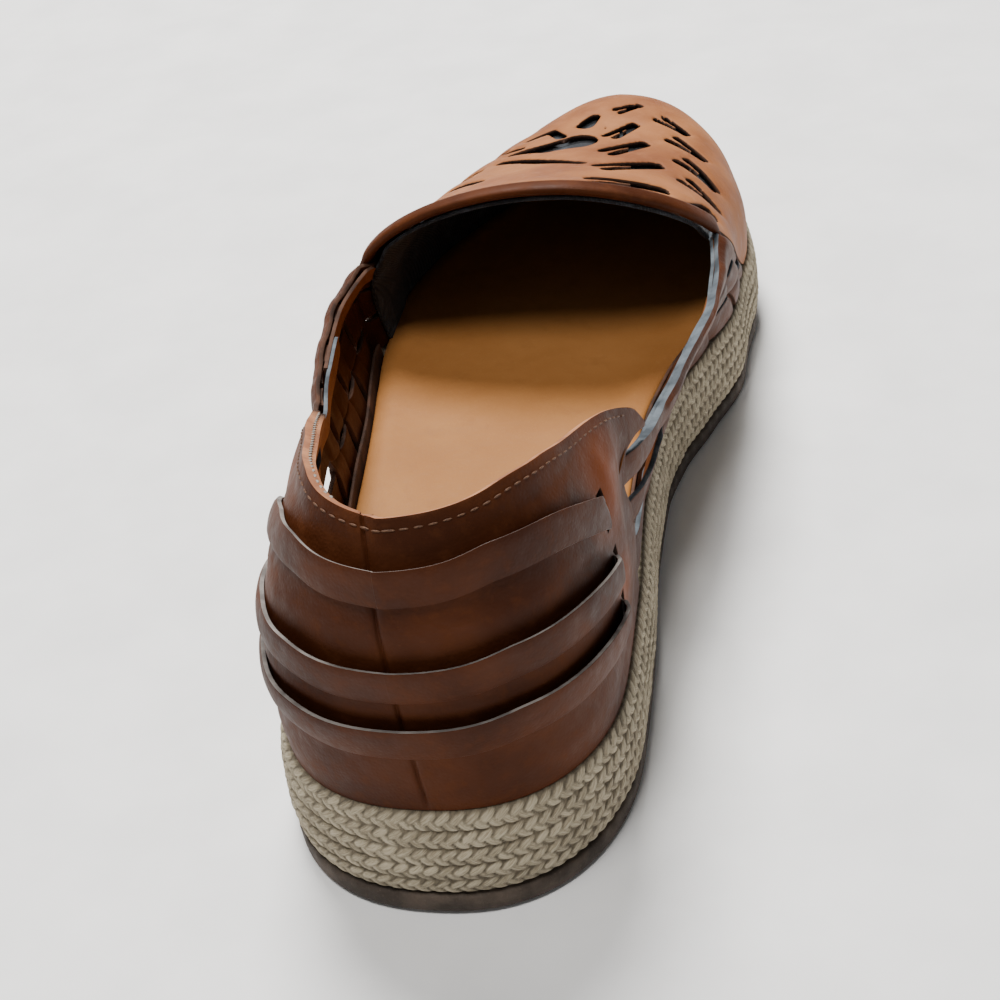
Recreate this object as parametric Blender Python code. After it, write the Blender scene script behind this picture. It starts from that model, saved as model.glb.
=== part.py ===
"""Left espadrille: a woven leather slip-on on a jute-wrapped sole, with three straps round its heel.

The shoe stands on its outsole. +Y points to the toe, +X to the inner (medial) side of the foot, +Z up.
The origin is on the floor, at the middle of the shoe's outline. Blender's unit is the metre; the
dimensions and tables below are in millimetres, and MM turns them into metres when a mesh is made.
"""

import bmesh
import bpy
import numpy as np

MM = 0.001

# Plan of the shoe: its length, and how its heel and toe are rounded and the toe swings inwards.
# Stations along the shoe run from 0 at the heel to LENGTH at the toe.
LENGTH = 252.0
END_INSET = 4.0
HEEL_ROUND = 37.0
HEEL_FULLNESS = 2.35
TOE_ROUND = 54.0
TOE_FULLNESS = 2.1
TOE_SWING = 7.5
TOE_SWING_RUN = 70.0

# The sole's profile: the toe springs up, and the waist lifts between the heel and the ball.
TOE_SPRING = 7.0
SPRING_START = 0.72
WAIST_LIFT = 1.2
WAIST_MIDDLE = 0.40
WAIST_REACH = 0.17

# The last's instep ridge stops short of both ends, where the sections fan round its ends.
RIDGE_FROM = HEEL_ROUND + 2.0
RIDGE_TO = LENGTH - 40.0
RIDGE_SOFTNESS = 10.0
COLLAR_FROM = 0.12
COLLAR_RUN = 0.46
BACK_BULGE = 3.0
SPLAY_PEAK = 28.9

OUTSOLE_TOP = 4.5
SOLE_TOP = 22.0
INSOLE_THICKNESS = 2.2
INSOLE_EASE = 0.25
CLEARANCE = 0.3

# The sole's layers: height, how far the edge stands outside the upper's foot at the sides and at the
# back of the heel, and the layer's share of the waist's lift, from the bottom up.
OUTSOLE_LEVELS = (
    (0.0, 0.9, 3.8, 1.0),
    (1.0, 1.5, 4.4, 1.0),
    (OUTSOLE_TOP, 1.6, 4.2, 0.35),
)
MIDSOLE_LEVELS = (
    (OUTSOLE_TOP + CLEARANCE, 1.3, 3.6, 0.35),
    (9.0, 2.1, 3.7, 0.2),
    (14.0, 2.1, 2.9, 0.1),
    (19.0, 1.6, 1.7, 0.0),
    (SOLE_TOP, 0.7, 0.6, 0.0),
)
INSOLE_LEVELS = (
    (SOLE_TOP + CLEARANCE, 0.0, 0.0, 0.0),
    (SOLE_TOP + CLEARANCE + INSOLE_THICKNESS, 0.0, 0.0, 0.0),
)
SOLE_STATIONS = 44

UPPER_WALL = 1.5
COUNTER_WALL = 1.5
STRAP_WALL = 1.4
COUNTER_RECESS = COUNTER_WALL + 0.6
RECESS_END = 79.0
RECESS_RUN = 14.0

# Half widths of the upper where it meets the sole, on each side of the middle line.
PLAN_COLUMNS = ("share", "medial", "lateral")
PLAN_ROWS = (
    (0.00, 32.2, 32.2),
    (0.14, 32.4, 32.6),
    (0.24, 31.6, 33.2),
    (0.38, 29.0, 36.6),
    (0.47, 28.6, 39.5),
    (0.54, 30.8, 42.2),
    (0.61, 36.0, 44.4),
    (0.70, 41.6, 44.9),
    (0.78, 41.6, 42.0),
    (0.88, 38.2, 35.6),
    (1.00, 34.0, 28.0),
)

# Cross-sections of the last: the ridge along the instep, how square each section is, how far its
# sides bulge, how far the quarters are splayed outwards, and how far the collar is drawn in.
BODY_COLUMNS = (
    "share", "ridge_x", "ridge_height", "fullness", "bulge_medial", "bulge_lateral",
    "splay_medial", "splay_lateral", "draw_medial", "draw_lateral",
)
BODY_ROWS = (
    (0.00, 0.8, 74.0, 2.35, 0.9, 0.9, 0.0, 0.0, 2.5, 8.0),
    (0.09, 0.8, 74.0, 2.35, 0.9, 0.7, 0.0, 0.0, 2.0, 10.0),
    (0.16, 0.9, 73.7, 2.34, 0.9, 0.7, 0.5, 0.0, 1.5, 6.5),
    (0.27, 1.8, 69.5, 2.31, 1.2, 0.9, 4.0, 0.5, 0.5, 1.0),
    (0.33, 2.2, 66.0, 2.29, 1.6, 1.8, 8.0, 2.0, 0.0, 0.0),
    (0.41, 2.6, 59.5, 2.26, 2.0, 2.2, 12.5, 6.0, 0.0, 0.0),
    (0.51, 3.8, 51.5, 2.23, 2.2, 2.2, 15.0, 7.5, 0.0, 0.0),
    (0.60, 5.0, 45.5, 2.20, 2.0, 2.0, 9.0, 5.0, 0.0, 0.0),
    (0.67, 5.9, 39.6, 2.20, 1.8, 1.6, 3.5, 2.0, 0.0, 0.0),
    (0.75, 6.8, 33.9, 2.20, 1.5, 1.3, 1.0, 0.5, 0.0, 0.0),
    (0.85, 7.5, 28.5, 2.20, 1.2, 1.1, 0.0, 0.0, 0.0, 0.0),
    (1.00, 7.5, 20.0, 2.20, 0.8, 0.8, 0.0, 0.0, 0.0, 0.0),
)

# Height of the upper's top edge above the floor, from the heel to the corners of the throat.
TOPLINE_COLUMNS = ("share", "medial", "lateral")
TOPLINE_ROWS = (
    (0.00, 80.5, 80.5),
    (0.04, 80.5, 80.3),
    (0.10, 78.4, 77.5),
    (0.15, 74.9, 74.0),
    (0.22, 69.3, 68.0),
    (0.27, 62.6, 62.5),
    (0.31, 53.0, 55.5),
    (0.35, 50.0, 53.5),
    (0.40, 49.0, 52.2),
    (0.50, 47.5, 50.5),
    (0.60, 47.0, 49.5),
)

# The heel counter's rows, from its foot to its top edge. Up to the top strap's slots a row follows an
# edge of a strap, and above them it is a share of the way to the top edge. The front is the station
# where the row ends, and the rows widen into a round ear under the top edge.
COUNTER_COLUMNS = ("above_slots", "front")
COUNTER_ROWS = (
    (0.00, 66.0),
    (0.00, 63.8),
    (0.00, 62.2),
    (0.00, 62.0),
    (0.00, 62.8),
    (0.00, 65.4),
    (0.00, 69.4),
    (0.45, 71.6),
    (0.80, 71.2),
    (1.00, 69.2),
)

# The heel straps: lower edge at the back, upper edge at the back, and both edges at the slots.
STRAP_COLUMNS = ("back_low", "back_high", "slot_low", "slot_high")
STRAPS = {
    "heel_strap_top": (66.4, 72.4, 55.4, 61.8),
    "heel_strap_mid": (48.4, 55.0, 43.4, 49.8),
    "heel_strap_low": (36.0, 43.0, 33.0, 39.6),
}
SLOT_ROWS = (1, 3, 5)
SLOT_FROM = 38.8
SLOT_TO = 43.9
SLOT_MARGIN = 0.8
STRAP_SAG = 1.2
STRAP_SAG_RUN = 6.0
STRAP_DIP = np.radians(36)

# The throat: where its edge meets the instep ridge, and how far it runs forward on each side.
THROAT_Y = 149.5
THROAT_LEAD = {"medial": 46.0, "lateral": 8.0}
THROAT_LEAN = 1.8
FAN_COLUMNS = ("share", "amount")
FAN_ROWS = ((0.00, 0.0), (0.26, 0.0), (0.59, 1.0), (0.75, 0.62), (1.00, 0.0))

# Columns of the meshes between the slots and the weave.
WAIST_STATIONS = (50.0, 56.0, 62.0, 68.0, 74.0)

# The woven quarters: small gaps between lengthwise straps and upright strips.
WEAVE_FROM = 80.0
WEAVE_TO = 143.0
WEAVE_GAPS = 7
GAP_SHARE = 0.36
QUARTER_ROWS = (0.0, 0.14, 0.28, 0.41, 0.54, 0.66, 0.78, 0.89, 1.0)
GAP_ROWS = (2, 5)

HEEL_COLUMNS = 9
VAMP_COLUMNS = 15
VAMP_ROWS = 6
MERGE = 0.02
RIDGE_MERGE = 0.6

RUBBER = ("outsole_rubber", (0.060, 0.040, 0.030), 0.62)
JUTE = ("jute_braid", (0.46, 0.40, 0.31), 0.95)
TAN_LEATHER = ("insole_leather", (0.55, 0.30, 0.13), 0.55)
COGNAC_LEATHER = ("cognac_leather", (0.22, 0.085, 0.042), 0.48)
STRAP_LEATHER = ("strap_leather", (0.20, 0.080, 0.045), 0.45)


def table(columns, rows):
    """Rows of numbers as one array for each named column."""
    return dict(zip(columns, np.array(rows, float).T))


PLAN = table(PLAN_COLUMNS, PLAN_ROWS)
BODY = table(BODY_COLUMNS, BODY_ROWS)
TOPLINE = table(TOPLINE_COLUMNS, TOPLINE_ROWS)
COUNTER = table(COUNTER_COLUMNS, COUNTER_ROWS)
FAN = table(FAN_COLUMNS, FAN_ROWS)


def curve(x, y, at):
    """A smooth curve through the points (x, y) that never overshoots them, read at the places at."""
    step = np.diff(x)
    rise = np.diff(y) / step
    slope = np.zeros_like(y)
    slope[0] = rise[0]
    slope[-1] = rise[-1]
    same_way = rise[:-1] * rise[1:] > 0
    before = 2 * step[1:] + step[:-1]
    after = step[1:] + 2 * step[:-1]
    safe = np.where(same_way, rise[:-1] * rise[1:], 1.0)
    mean = (before + after) * safe / (before * rise[1:] + after * rise[:-1] + (~same_way))
    slope[1:-1] = np.where(same_way, mean, 0.0)
    at = np.clip(at, x[0], x[-1])
    i = np.clip(np.searchsorted(x, at, side="right") - 1, 0, len(step) - 1)
    u = (at - x[i]) / step[i]
    return (
        (2 * u**3 - 3 * u**2 + 1) * y[i]
        + (u**3 - 2 * u**2 + u) * step[i] * slope[i]
        + (3 * u**2 - 2 * u**3) * y[i + 1]
        + (u**3 - u**2) * step[i] * slope[i + 1]
    )


def smoothstep(x):
    x = np.clip(x, 0.0, 1.0)
    return x * x * (3 - 2 * x)


def by_side(named, column, share, side):
    """A column that has a medial and a lateral version, read on the side given as +1 or -1."""
    medial = curve(named["share"], named[column + "medial"], share)
    lateral = curve(named["share"], named[column + "lateral"], share)
    return np.where(side > 0, medial, lateral)


def outline(station, side, grow=0.0, heel_grow=None):
    """Plan of the upper's foot at a station along the shoe, moved grow outwards along its normal.

    The back of the heel is moved by heel_grow, if that is given.
    """

    def foot(turn):
        along = LENGTH * (1 - np.cos(2 * np.pi * turn)) / 2
        heel = np.clip(1 - along / HEEL_ROUND, 0, 1)
        toe = np.clip(1 - (LENGTH - along) / TOE_ROUND, 0, 1)
        narrow = (1 - heel**HEEL_FULLNESS) ** (1 / HEEL_FULLNESS)
        narrow = narrow * (1 - toe**TOE_FULLNESS) ** (1 / TOE_FULLNESS)
        swing = TOE_SWING * smoothstep(1 - (LENGTH - along) / TOE_SWING_RUN)
        hand = np.where((turn % 1) <= 0.5, 1.0, -1.0)
        x = swing + hand * by_side(PLAN, "", along / LENGTH, hand) * narrow
        y = END_INSET + along * (LENGTH - 2 * END_INSET) / LENGTH
        return x, y

    turn = np.arccos(np.clip(1 - 2 * station / LENGTH, -1, 1)) / (2 * np.pi)
    turn = np.where(side > 0, turn, 1 - turn)
    x, y = foot(turn)
    x1, y1 = foot(turn + 1e-4)
    x0, y0 = foot(turn - 1e-4)
    size = np.hypot(x1 - x0, y1 - y0)
    normal_x = (y1 - y0) / size
    normal_y = (x0 - x1) / size
    if heel_grow is not None:
        grow = grow + (heel_grow - grow) * np.minimum(normal_y, 0) ** 2
    return x + grow * normal_x, y + grow * normal_y


def spring(y):
    """How far the sole rises at the toe."""
    return TOE_SPRING * np.clip((y / LENGTH - SPRING_START) / (1 - SPRING_START), 0, 1) ** 2


def ridge_station(y):
    """Where the section through y meets the ridge, which stops short of both ends."""
    raised = RIDGE_FROM + RIDGE_SOFTNESS * np.logaddexp(0, (y - RIDGE_FROM) / RIDGE_SOFTNESS)
    return RIDGE_TO - RIDGE_SOFTNESS * np.logaddexp(0, (RIDGE_TO - raised) / RIDGE_SOFTNESS)


def last_point(station, side, v, grow=0.0):
    """A point of the upper's outer surface, from its foot (v = 0) to the instep ridge (v = 1)."""
    station, side, v, grow = np.broadcast_arrays(station, side, v, grow)
    x, y = outline(station, side)
    y_ridge = ridge_station(y)
    share = y_ridge / LENGTH
    x_ridge = curve(BODY["share"], BODY["ridge_x"], share)
    height = curve(BODY["share"], BODY["ridge_height"], share)
    power = 2 / curve(BODY["share"], BODY["fullness"], share)
    angle = v * np.pi / 2
    out = np.clip(np.cos(angle), 0, 1) ** power
    up = np.clip(np.sin(angle), 0, 1) ** power
    dx = x - x_ridge
    dy = y - y_ridge
    reach = np.hypot(dx, dy) + 1e-9
    sideways = np.abs(dx) / reach
    bulge = by_side(BODY, "bulge_", share, side) * sideways + BACK_BULGE * (1 - sideways)
    splay = by_side(BODY, "splay_", share, side) * sideways * SPLAY_PEAK * v**2 * (1 - v) ** 3
    drawn = by_side(BODY, "draw_", share, side) * sideways * smoothstep((v - COLLAR_FROM) / COLLAR_RUN)
    wide = reach * out + bulge * np.sin(2 * angle) + splay - drawn + grow * out
    px = x_ridge + dx / reach * wide
    py = y_ridge + dy / reach * wide
    return np.stack([px, py, SOLE_TOP + spring(py) + height * up + grow * up], -1)


def v_at_height(station, side, height):
    """The v at which the last's surface reaches a height above the floor."""
    _, y = outline(station, side)
    share = ridge_station(y) / LENGTH
    ridge = curve(BODY["share"], BODY["ridge_height"], share)
    fullness = curve(BODY["share"], BODY["fullness"], share)
    rise = np.clip((height - SOLE_TOP - spring(y)) / ridge, 0, 1)
    return np.arcsin(rise ** (fullness / 2)) * 2 / np.pi


def recess(station):
    """The upper's step inwards, which leaves room for the heel counter over it."""
    return -COUNTER_RECESS * (1 - smoothstep((station - RECESS_END) / RECESS_RUN))


def even_stations(first, last, count):
    """Stations with even spacing round the outline, from first to last."""
    turns = np.arccos(1 - 2 * np.array([first, last]) / LENGTH)
    return LENGTH * (1 - np.cos(np.linspace(turns[0], turns[1], count + 1))) / 2


def new_object(name, mesh, material):
    """The finished bmesh as an object, in metres about the shoe's origin, with its own material."""
    middle_x, middle_y = shoe_middle()
    bmesh.ops.translate(mesh, verts=mesh.verts, vec=(-middle_x, -middle_y, 0.0))
    bmesh.ops.scale(mesh, verts=mesh.verts, vec=(MM, MM, MM))
    data = bpy.data.meshes.new(name)
    mesh.to_mesh(data)
    mesh.free()
    data.shade_smooth()
    data.set_sharp_from_angle(angle=np.radians(40))
    shoe_part = bpy.data.objects.new(name, data)
    bpy.context.scene.collection.objects.link(shoe_part)
    slot, colour, roughness = material
    paint = bpy.data.materials.get(slot) or bpy.data.materials.new(slot)
    paint.use_nodes = True
    shader = paint.node_tree.nodes["Principled BSDF"]
    shader.inputs["Base Color"].default_value = (*colour, 1.0)
    shader.inputs["Roughness"].default_value = roughness
    shader.inputs["Metallic"].default_value = 0.0
    data.materials.append(paint)
    return shoe_part


def shoe_middle():
    """The middle of the sole's outline, which is the widest part of the shoe."""
    stations = even_stations(0, LENGTH, 200)
    x, y = [], []
    for _, grow, heel_grow, _ in OUTSOLE_LEVELS + MIDSOLE_LEVELS:
        for side in (1.0, -1.0):
            edge_x, edge_y = outline(stations, side, grow, heel_grow)
            x += [edge_x.min(), edge_x.max()]
            y += [edge_y.min(), edge_y.max()]
    return (min(x) + max(x)) / 2, (min(y) + max(y)) / 2


def grid_mesh(points):
    """A bmesh grid with one corner at each of points[row, column]."""
    rows, columns = points.shape[:2]
    mesh = bmesh.new()
    bmesh.ops.create_grid(mesh, x_segments=columns - 1, y_segments=rows - 1, size=1.0)
    mesh.verts.ensure_lookup_table()
    for vertex, place in zip(mesh.verts, points.reshape(-1, 3)):
        vertex.co = place
    mesh.faces.ensure_lookup_table()
    return mesh


def drop_faces(mesh, cells, columns):
    """Removes the grid's faces at the given (row, column) cells."""
    gone = [mesh.faces[row * (columns - 1) + column] for row, column in cells]
    bmesh.ops.delete(mesh, geom=gone, context="FACES")


def add_wall(shoe_part, thickness, outwards=False):
    """Gives an open sheet a wall behind it, or in front of it."""
    wall = shoe_part.modifiers.new("wall", "SOLIDIFY")
    wall.thickness = thickness * MM
    wall.offset = 1.0 if outwards else -1.0
    wall.use_even_offset = True
    wall.use_rim = True


# Sole: three slabs lofted through sections along the shoe.

def waist_lift(y):
    """The lift of the sole's waist, between the flat heel and the flat ball of the foot."""
    middle = (y / LENGTH - WAIST_MIDDLE) / WAIST_REACH
    return WAIST_LIFT * (1 - smoothstep(np.abs(middle)))


def slab(name, levels, material, inset=None):
    """A layer of the sole: its sections are loops that run round from level to level."""
    stations = even_stations(0, LENGTH, SOLE_STATIONS)
    loops = []
    walls = [(1.0, level) for level in levels] + [(-1.0, level) for level in reversed(levels)]
    for side, (height, grow, heel_grow, lift) in walls + walls[:1]:
        if inset is not None:
            grow = heel_grow = grow + inset(stations)
        x, y = outline(stations, side, grow, heel_grow)
        z = height + spring(y) + lift * waist_lift(y)
        loops.append(np.stack([x, y, z], -1))
    mesh = grid_mesh(np.array(loops))
    bmesh.ops.remove_doubles(mesh, verts=mesh.verts, dist=MERGE)
    bmesh.ops.recalc_face_normals(mesh, faces=mesh.faces)
    return new_object(name, mesh, material)


def insole_inset(stations):
    """The insole's edge stays just inside the upper's inner face."""
    return recess(stations) - UPPER_WALL - CLEARANCE - INSOLE_EASE


# Upper: one sheet round the last, from the heel's back over the vamp and round again.

def upper_stations():
    """Ridge stations of the sheet's columns, with the number of them before the weave and the throat."""
    heel = even_stations(0, SLOT_FROM, HEEL_COLUMNS)
    behind = np.array([SLOT_TO, *WAIST_STATIONS])
    period = (WEAVE_TO - WEAVE_FROM) / WEAVE_GAPS
    starts = WEAVE_FROM + period * np.arange(WEAVE_GAPS)
    weave = np.stack([starts, starts + GAP_SHARE * period], -1).ravel()
    vamp = even_stations(THROAT_Y, LENGTH, VAMP_COLUMNS)
    first_gap = len(heel) + len(behind)
    throat = first_gap + len(weave)
    return np.concatenate([heel, behind, weave, vamp]), first_gap, throat


def slanted(station, side, v):
    """The column through a ridge station leans forward towards its foot, in a fan about the throat."""
    lead = np.where(side > 0, THROAT_LEAD["medial"], THROAT_LEAD["lateral"])
    fan = curve(FAN["share"], FAN["amount"], station / LENGTH)
    return np.clip(station + lead * fan * (1 - v) ** THROAT_LEAN, 0, LENGTH)


def top_v(station, side):
    """The v of the upper's top edge behind the throat."""
    height = by_side(TOPLINE, "", station / LENGTH, side)
    v = np.full(np.shape(station), 0.4)
    for _ in range(4):
        v = v_at_height(slanted(station, side, v), side, height)
    return v


def upper():
    stations, first_gap, throat = upper_stations()
    around = np.concatenate([stations, stations[-2::-1]])
    side = np.concatenate([np.ones(len(stations)), -np.ones(len(stations) - 1)])
    edge = top_v(np.minimum(around, THROAT_Y), side)
    low = np.array(QUARTER_ROWS)[:, None] * edge
    high = edge + np.linspace(0, 1, VAMP_ROWS + 1)[1:, None] * (1 - edge)
    v = np.concatenate([low, high])
    along = slanted(around, side, v)
    points = last_point(along, side, v, recess(along))
    points[0, :, 2] += CLEARANCE
    mesh = grid_mesh(points)
    columns = len(around)
    cells = []
    for row in range(len(v) - 1):
        for column in range(columns - 1):
            from_heel = min(column, columns - 2 - column)
            open_top = row >= len(QUARTER_ROWS) - 1 and from_heel < throat
            in_weave = first_gap <= from_heel < throat and (from_heel - first_gap) % 2 == 0
            if open_top or (in_weave and row in GAP_ROWS):
                cells.append((row, column))
    drop_faces(mesh, cells, columns)
    ridge = [vertex for vertex in mesh.verts if on_ridge(vertex)]
    bmesh.ops.remove_doubles(mesh, verts=ridge, dist=RIDGE_MERGE)
    bmesh.ops.remove_doubles(mesh, verts=mesh.verts, dist=MERGE)
    loose = [vertex for vertex in mesh.verts if not vertex.link_faces]
    bmesh.ops.delete(mesh, geom=loose, context="VERTS")
    shoe_upper = new_object("upper", mesh, COGNAC_LEATHER)
    add_wall(shoe_upper, UPPER_WALL)


def on_ridge(vertex):
    """Whether a corner of the upper's sheet lies on the instep ridge, well above the sole."""
    ridge_x = float(curve(BODY["share"], BODY["ridge_x"], vertex.co.y / LENGTH))
    return abs(vertex.co.x - ridge_x) < MERGE and vertex.co.z > SOLE_TOP + SOLE_TOP / 2


# Heel counter: an overlay outside the upper's heel, with three slots on each side.

def strap_edges(name, station):
    """Lower and upper edge of a strap: it sags at the heel's back and slants down to its slots."""
    edge = dict(zip(STRAP_COLUMNS, STRAPS[name]))
    lift = STRAP_SAG * smoothstep(station / STRAP_SAG_RUN)
    fall = np.clip(station / SLOT_FROM, 0, 1) ** 2
    low = edge["back_low"] + lift + (edge["slot_low"] - edge["back_low"] - STRAP_SAG) * fall
    high = edge["back_high"] + lift + (edge["slot_high"] - edge["back_high"] - STRAP_SAG) * fall
    return low, high


def counter_rows(station, side):
    """Heights of the counter's rows at a station, up to the slots."""
    heights = [np.full_like(station, SOLE_TOP + CLEARANCE)]
    for name in reversed(STRAPS):
        low, high = strap_edges(name, station)
        heights += [low - SLOT_MARGIN, high + SLOT_MARGIN]
    top = by_side(TOPLINE, "", station / LENGTH, side)
    upper_rows = COUNTER["above_slots"][len(heights):]
    return np.array(heights + [heights[-1] + share * (top - heights[-1]) for share in upper_rows])


def counter_heights(station, side):
    """Heights of the counter's rows: in front of the slots they close up as the top edge falls."""
    at_slots = counter_rows(np.minimum(station, SLOT_TO), side)
    foot = SOLE_TOP + CLEARANCE
    top = by_side(TOPLINE, "", station / LENGTH, side)
    return foot + (at_slots - foot) * (top - foot) / (at_slots[-1] - foot)


def both_sides(values):
    """Values for the columns from the lateral front round the heel's back to the medial front."""
    return np.concatenate([values[:0:-1], values])


def heel_counter():
    front = COUNTER["front"][:, None]
    heel = [*even_stations(0, SLOT_FROM, HEEL_COLUMNS), SLOT_TO, *WAIST_STATIONS[:2]]
    behind = both_sides(np.array(heel + [WAIST_STATIONS[1]] * 2))
    towards_front = both_sides(np.array([0.0] * len(heel) + [0.5, 1.0]))
    side = np.where(np.arange(len(behind)) < len(behind) // 2, -1.0, 1.0)
    stations = behind + towards_front * (front - behind)
    heights = np.array([counter_heights(line, side)[row] for row, line in enumerate(stations)])
    mesh = grid_mesh(last_point(stations, side, v_at_height(stations, side, heights)))
    slot_column = len(WAIST_STATIONS[:2]) + 2
    slot_columns = (slot_column, len(behind) - 2 - slot_column)
    slots = [(row, column) for row in SLOT_ROWS for column in slot_columns]
    drop_faces(mesh, slots, len(behind))
    counter = new_object("heel_counter", mesh, COGNAC_LEATHER)
    add_wall(counter, COUNTER_WALL)


# Heel straps: each runs round the counter from slot to slot, and dips through the slots to the upper.

def heel_strap(name):
    heel = even_stations(0, SLOT_FROM, HEEL_COLUMNS)
    enters = SLOT_FROM + CLEARANCE
    ends = SLOT_TO - 2 * CLEARANCE - STRAP_WALL * np.sin(STRAP_DIP)
    reach = np.array([*heel[:-1], enters, (enters + ends) / 2, ends])
    depth = np.full(len(reach), CLEARANCE)
    depth[-2:] = (CLEARANCE - 0.5 * COUNTER_RECESS, CLEARANCE - COUNTER_RECESS)
    reach = both_sides(reach)
    depth = both_sides(depth)
    side = np.where(np.arange(len(reach)) < len(reach) // 2, -1.0, 1.0)
    low, high = strap_edges(name, reach)
    heights = np.array([low, (low + high) / 2, high])
    points = last_point(reach, side, v_at_height(reach, side, heights), depth)
    strap = new_object(name, grid_mesh(points), STRAP_LEATHER)
    add_wall(strap, STRAP_WALL, outwards=True)


def main():
    for shoe_part in list(bpy.data.objects):
        bpy.data.objects.remove(shoe_part, do_unlink=True)
    slab("outsole", OUTSOLE_LEVELS, RUBBER)
    slab("midsole", MIDSOLE_LEVELS, JUTE)
    slab("insole", INSOLE_LEVELS, TAN_LEATHER, insole_inset)
    upper()
    heel_counter()
    for name in STRAPS:
        heel_strap(name)


main()
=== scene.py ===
"""The finished look of the left espadrille, built over its CAD frame.

Shapes are worked out in millimetres about the last: stations run from 0 at the heel to LENGTH at
the toe, side is +1 on the inner (medial) side of the foot and -1 on the outer (lateral) side, and v
runs from 0 at the upper's foot to 1 on the instep ridge. Each finished piece is moved to the part's
own origin and turned into metres.
"""

import bmesh
import bpy
import numpy as np
from mathutils import Matrix, Vector

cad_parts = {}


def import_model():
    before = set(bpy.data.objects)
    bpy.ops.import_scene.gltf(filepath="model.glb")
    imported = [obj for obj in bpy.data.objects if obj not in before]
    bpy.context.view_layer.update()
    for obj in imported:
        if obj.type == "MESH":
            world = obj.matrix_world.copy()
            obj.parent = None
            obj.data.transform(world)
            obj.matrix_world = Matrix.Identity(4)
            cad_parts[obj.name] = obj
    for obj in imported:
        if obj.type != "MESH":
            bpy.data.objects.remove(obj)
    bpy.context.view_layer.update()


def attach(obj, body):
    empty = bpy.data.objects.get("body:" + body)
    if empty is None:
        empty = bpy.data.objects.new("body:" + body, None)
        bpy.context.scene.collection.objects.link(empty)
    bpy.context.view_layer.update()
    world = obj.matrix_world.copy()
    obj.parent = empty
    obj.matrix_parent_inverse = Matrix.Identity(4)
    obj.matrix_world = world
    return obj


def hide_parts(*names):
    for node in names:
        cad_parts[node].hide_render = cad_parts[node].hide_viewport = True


MM = 0.001
# Corners that lie this close, in millimetres, are one: round a bar, and round the sole's rings.
JOIN_WITHIN = 0.0005
RING_JOIN = 0.004

# The last and the sole, as in the part.
LENGTH = 252.0
END_INSET = 4.0
HEEL_ROUND = 37.0
HEEL_FULLNESS = 2.35
TOE_ROUND = 54.0
TOE_FULLNESS = 2.1
TOE_SWING = 7.5
TOE_SWING_RUN = 70.0
TOE_SPRING = 7.0
SPRING_START = 0.72
WAIST_LIFT = 1.2
WAIST_MIDDLE = 0.40
WAIST_REACH = 0.17
RIDGE_FROM = HEEL_ROUND + 2.0
RIDGE_TO = LENGTH - 40.0
RIDGE_SOFTNESS = 10.0
COLLAR_FROM = 0.12
COLLAR_RUN = 0.46
BACK_BULGE = 3.0
SPLAY_PEAK = 28.9
OUTSOLE_TOP = 4.5
SOLE_TOP = 22.0
INSOLE_TOP = 24.5
LAYER_GAP = 0.3
SOLE_CLEAR = 0.35
HANDS = ((1.0, "medial"), (-1.0, "lateral"))

# How far a layer's edge stands outside the upper's foot, at its sides and at the back of the heel.
EDGE_COLUMNS = ("height", "side", "heel", "lift")
OUTSOLE_EDGE = (
    (0.0, 0.9, 3.8, 1.0),
    (1.0, 1.5, 4.4, 1.0),
    (4.5, 1.6, 4.2, 0.35),
)
JUTE_EDGE = (
    (4.8, 1.3, 3.6, 0.35),
    (9.0, 2.1, 3.7, 0.2),
    (14.0, 2.1, 2.9, 0.1),
    (19.0, 1.6, 1.7, 0.0),
    (22.0, 0.7, 0.6, 0.0),
)

PLAN_COLUMNS = ("share", "medial", "lateral")
PLAN_ROWS = (
    (0.00, 32.2, 32.2),
    (0.14, 32.4, 32.6),
    (0.24, 31.6, 33.2),
    (0.38, 29.0, 36.6),
    (0.47, 28.6, 39.5),
    (0.54, 30.8, 42.2),
    (0.61, 36.0, 44.4),
    (0.70, 41.6, 44.9),
    (0.78, 41.6, 42.0),
    (0.88, 38.2, 35.6),
    (1.00, 34.0, 28.0),
)
BODY_COLUMNS = (
    "share", "ridge_x", "ridge_height", "fullness", "bulge_medial", "bulge_lateral",
    "splay_medial", "splay_lateral", "draw_medial", "draw_lateral",
)
BODY_ROWS = (
    (0.00, 0.8, 74.0, 2.35, 0.9, 0.9, 0.0, 0.0, 2.5, 8.0),
    (0.09, 0.8, 74.0, 2.35, 0.9, 0.7, 0.0, 0.0, 2.0, 10.0),
    (0.16, 0.9, 73.7, 2.34, 0.9, 0.7, 0.5, 0.0, 1.5, 6.5),
    (0.27, 1.8, 69.5, 2.31, 1.2, 0.9, 4.0, 0.5, 0.5, 1.0),
    (0.33, 2.2, 66.0, 2.29, 1.6, 1.8, 8.0, 2.0, 0.0, 0.0),
    (0.41, 2.6, 59.5, 2.26, 2.0, 2.2, 12.5, 6.0, 0.0, 0.0),
    (0.51, 3.8, 51.5, 2.23, 2.2, 2.2, 15.0, 7.5, 0.0, 0.0),
    (0.60, 5.0, 45.5, 2.20, 2.0, 2.0, 9.0, 5.0, 0.0, 0.0),
    (0.67, 5.9, 39.6, 2.20, 1.8, 1.6, 3.5, 2.0, 0.0, 0.0),
    (0.75, 6.8, 33.9, 2.20, 1.5, 1.3, 1.0, 0.5, 0.0, 0.0),
    (0.85, 7.5, 28.5, 2.20, 1.2, 1.1, 0.0, 0.0, 0.0, 0.0),
    (1.00, 7.5, 20.0, 2.20, 0.8, 0.8, 0.0, 0.0, 0.0, 0.0),
)
TOPLINE_COLUMNS = ("share", "medial", "lateral")
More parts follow.
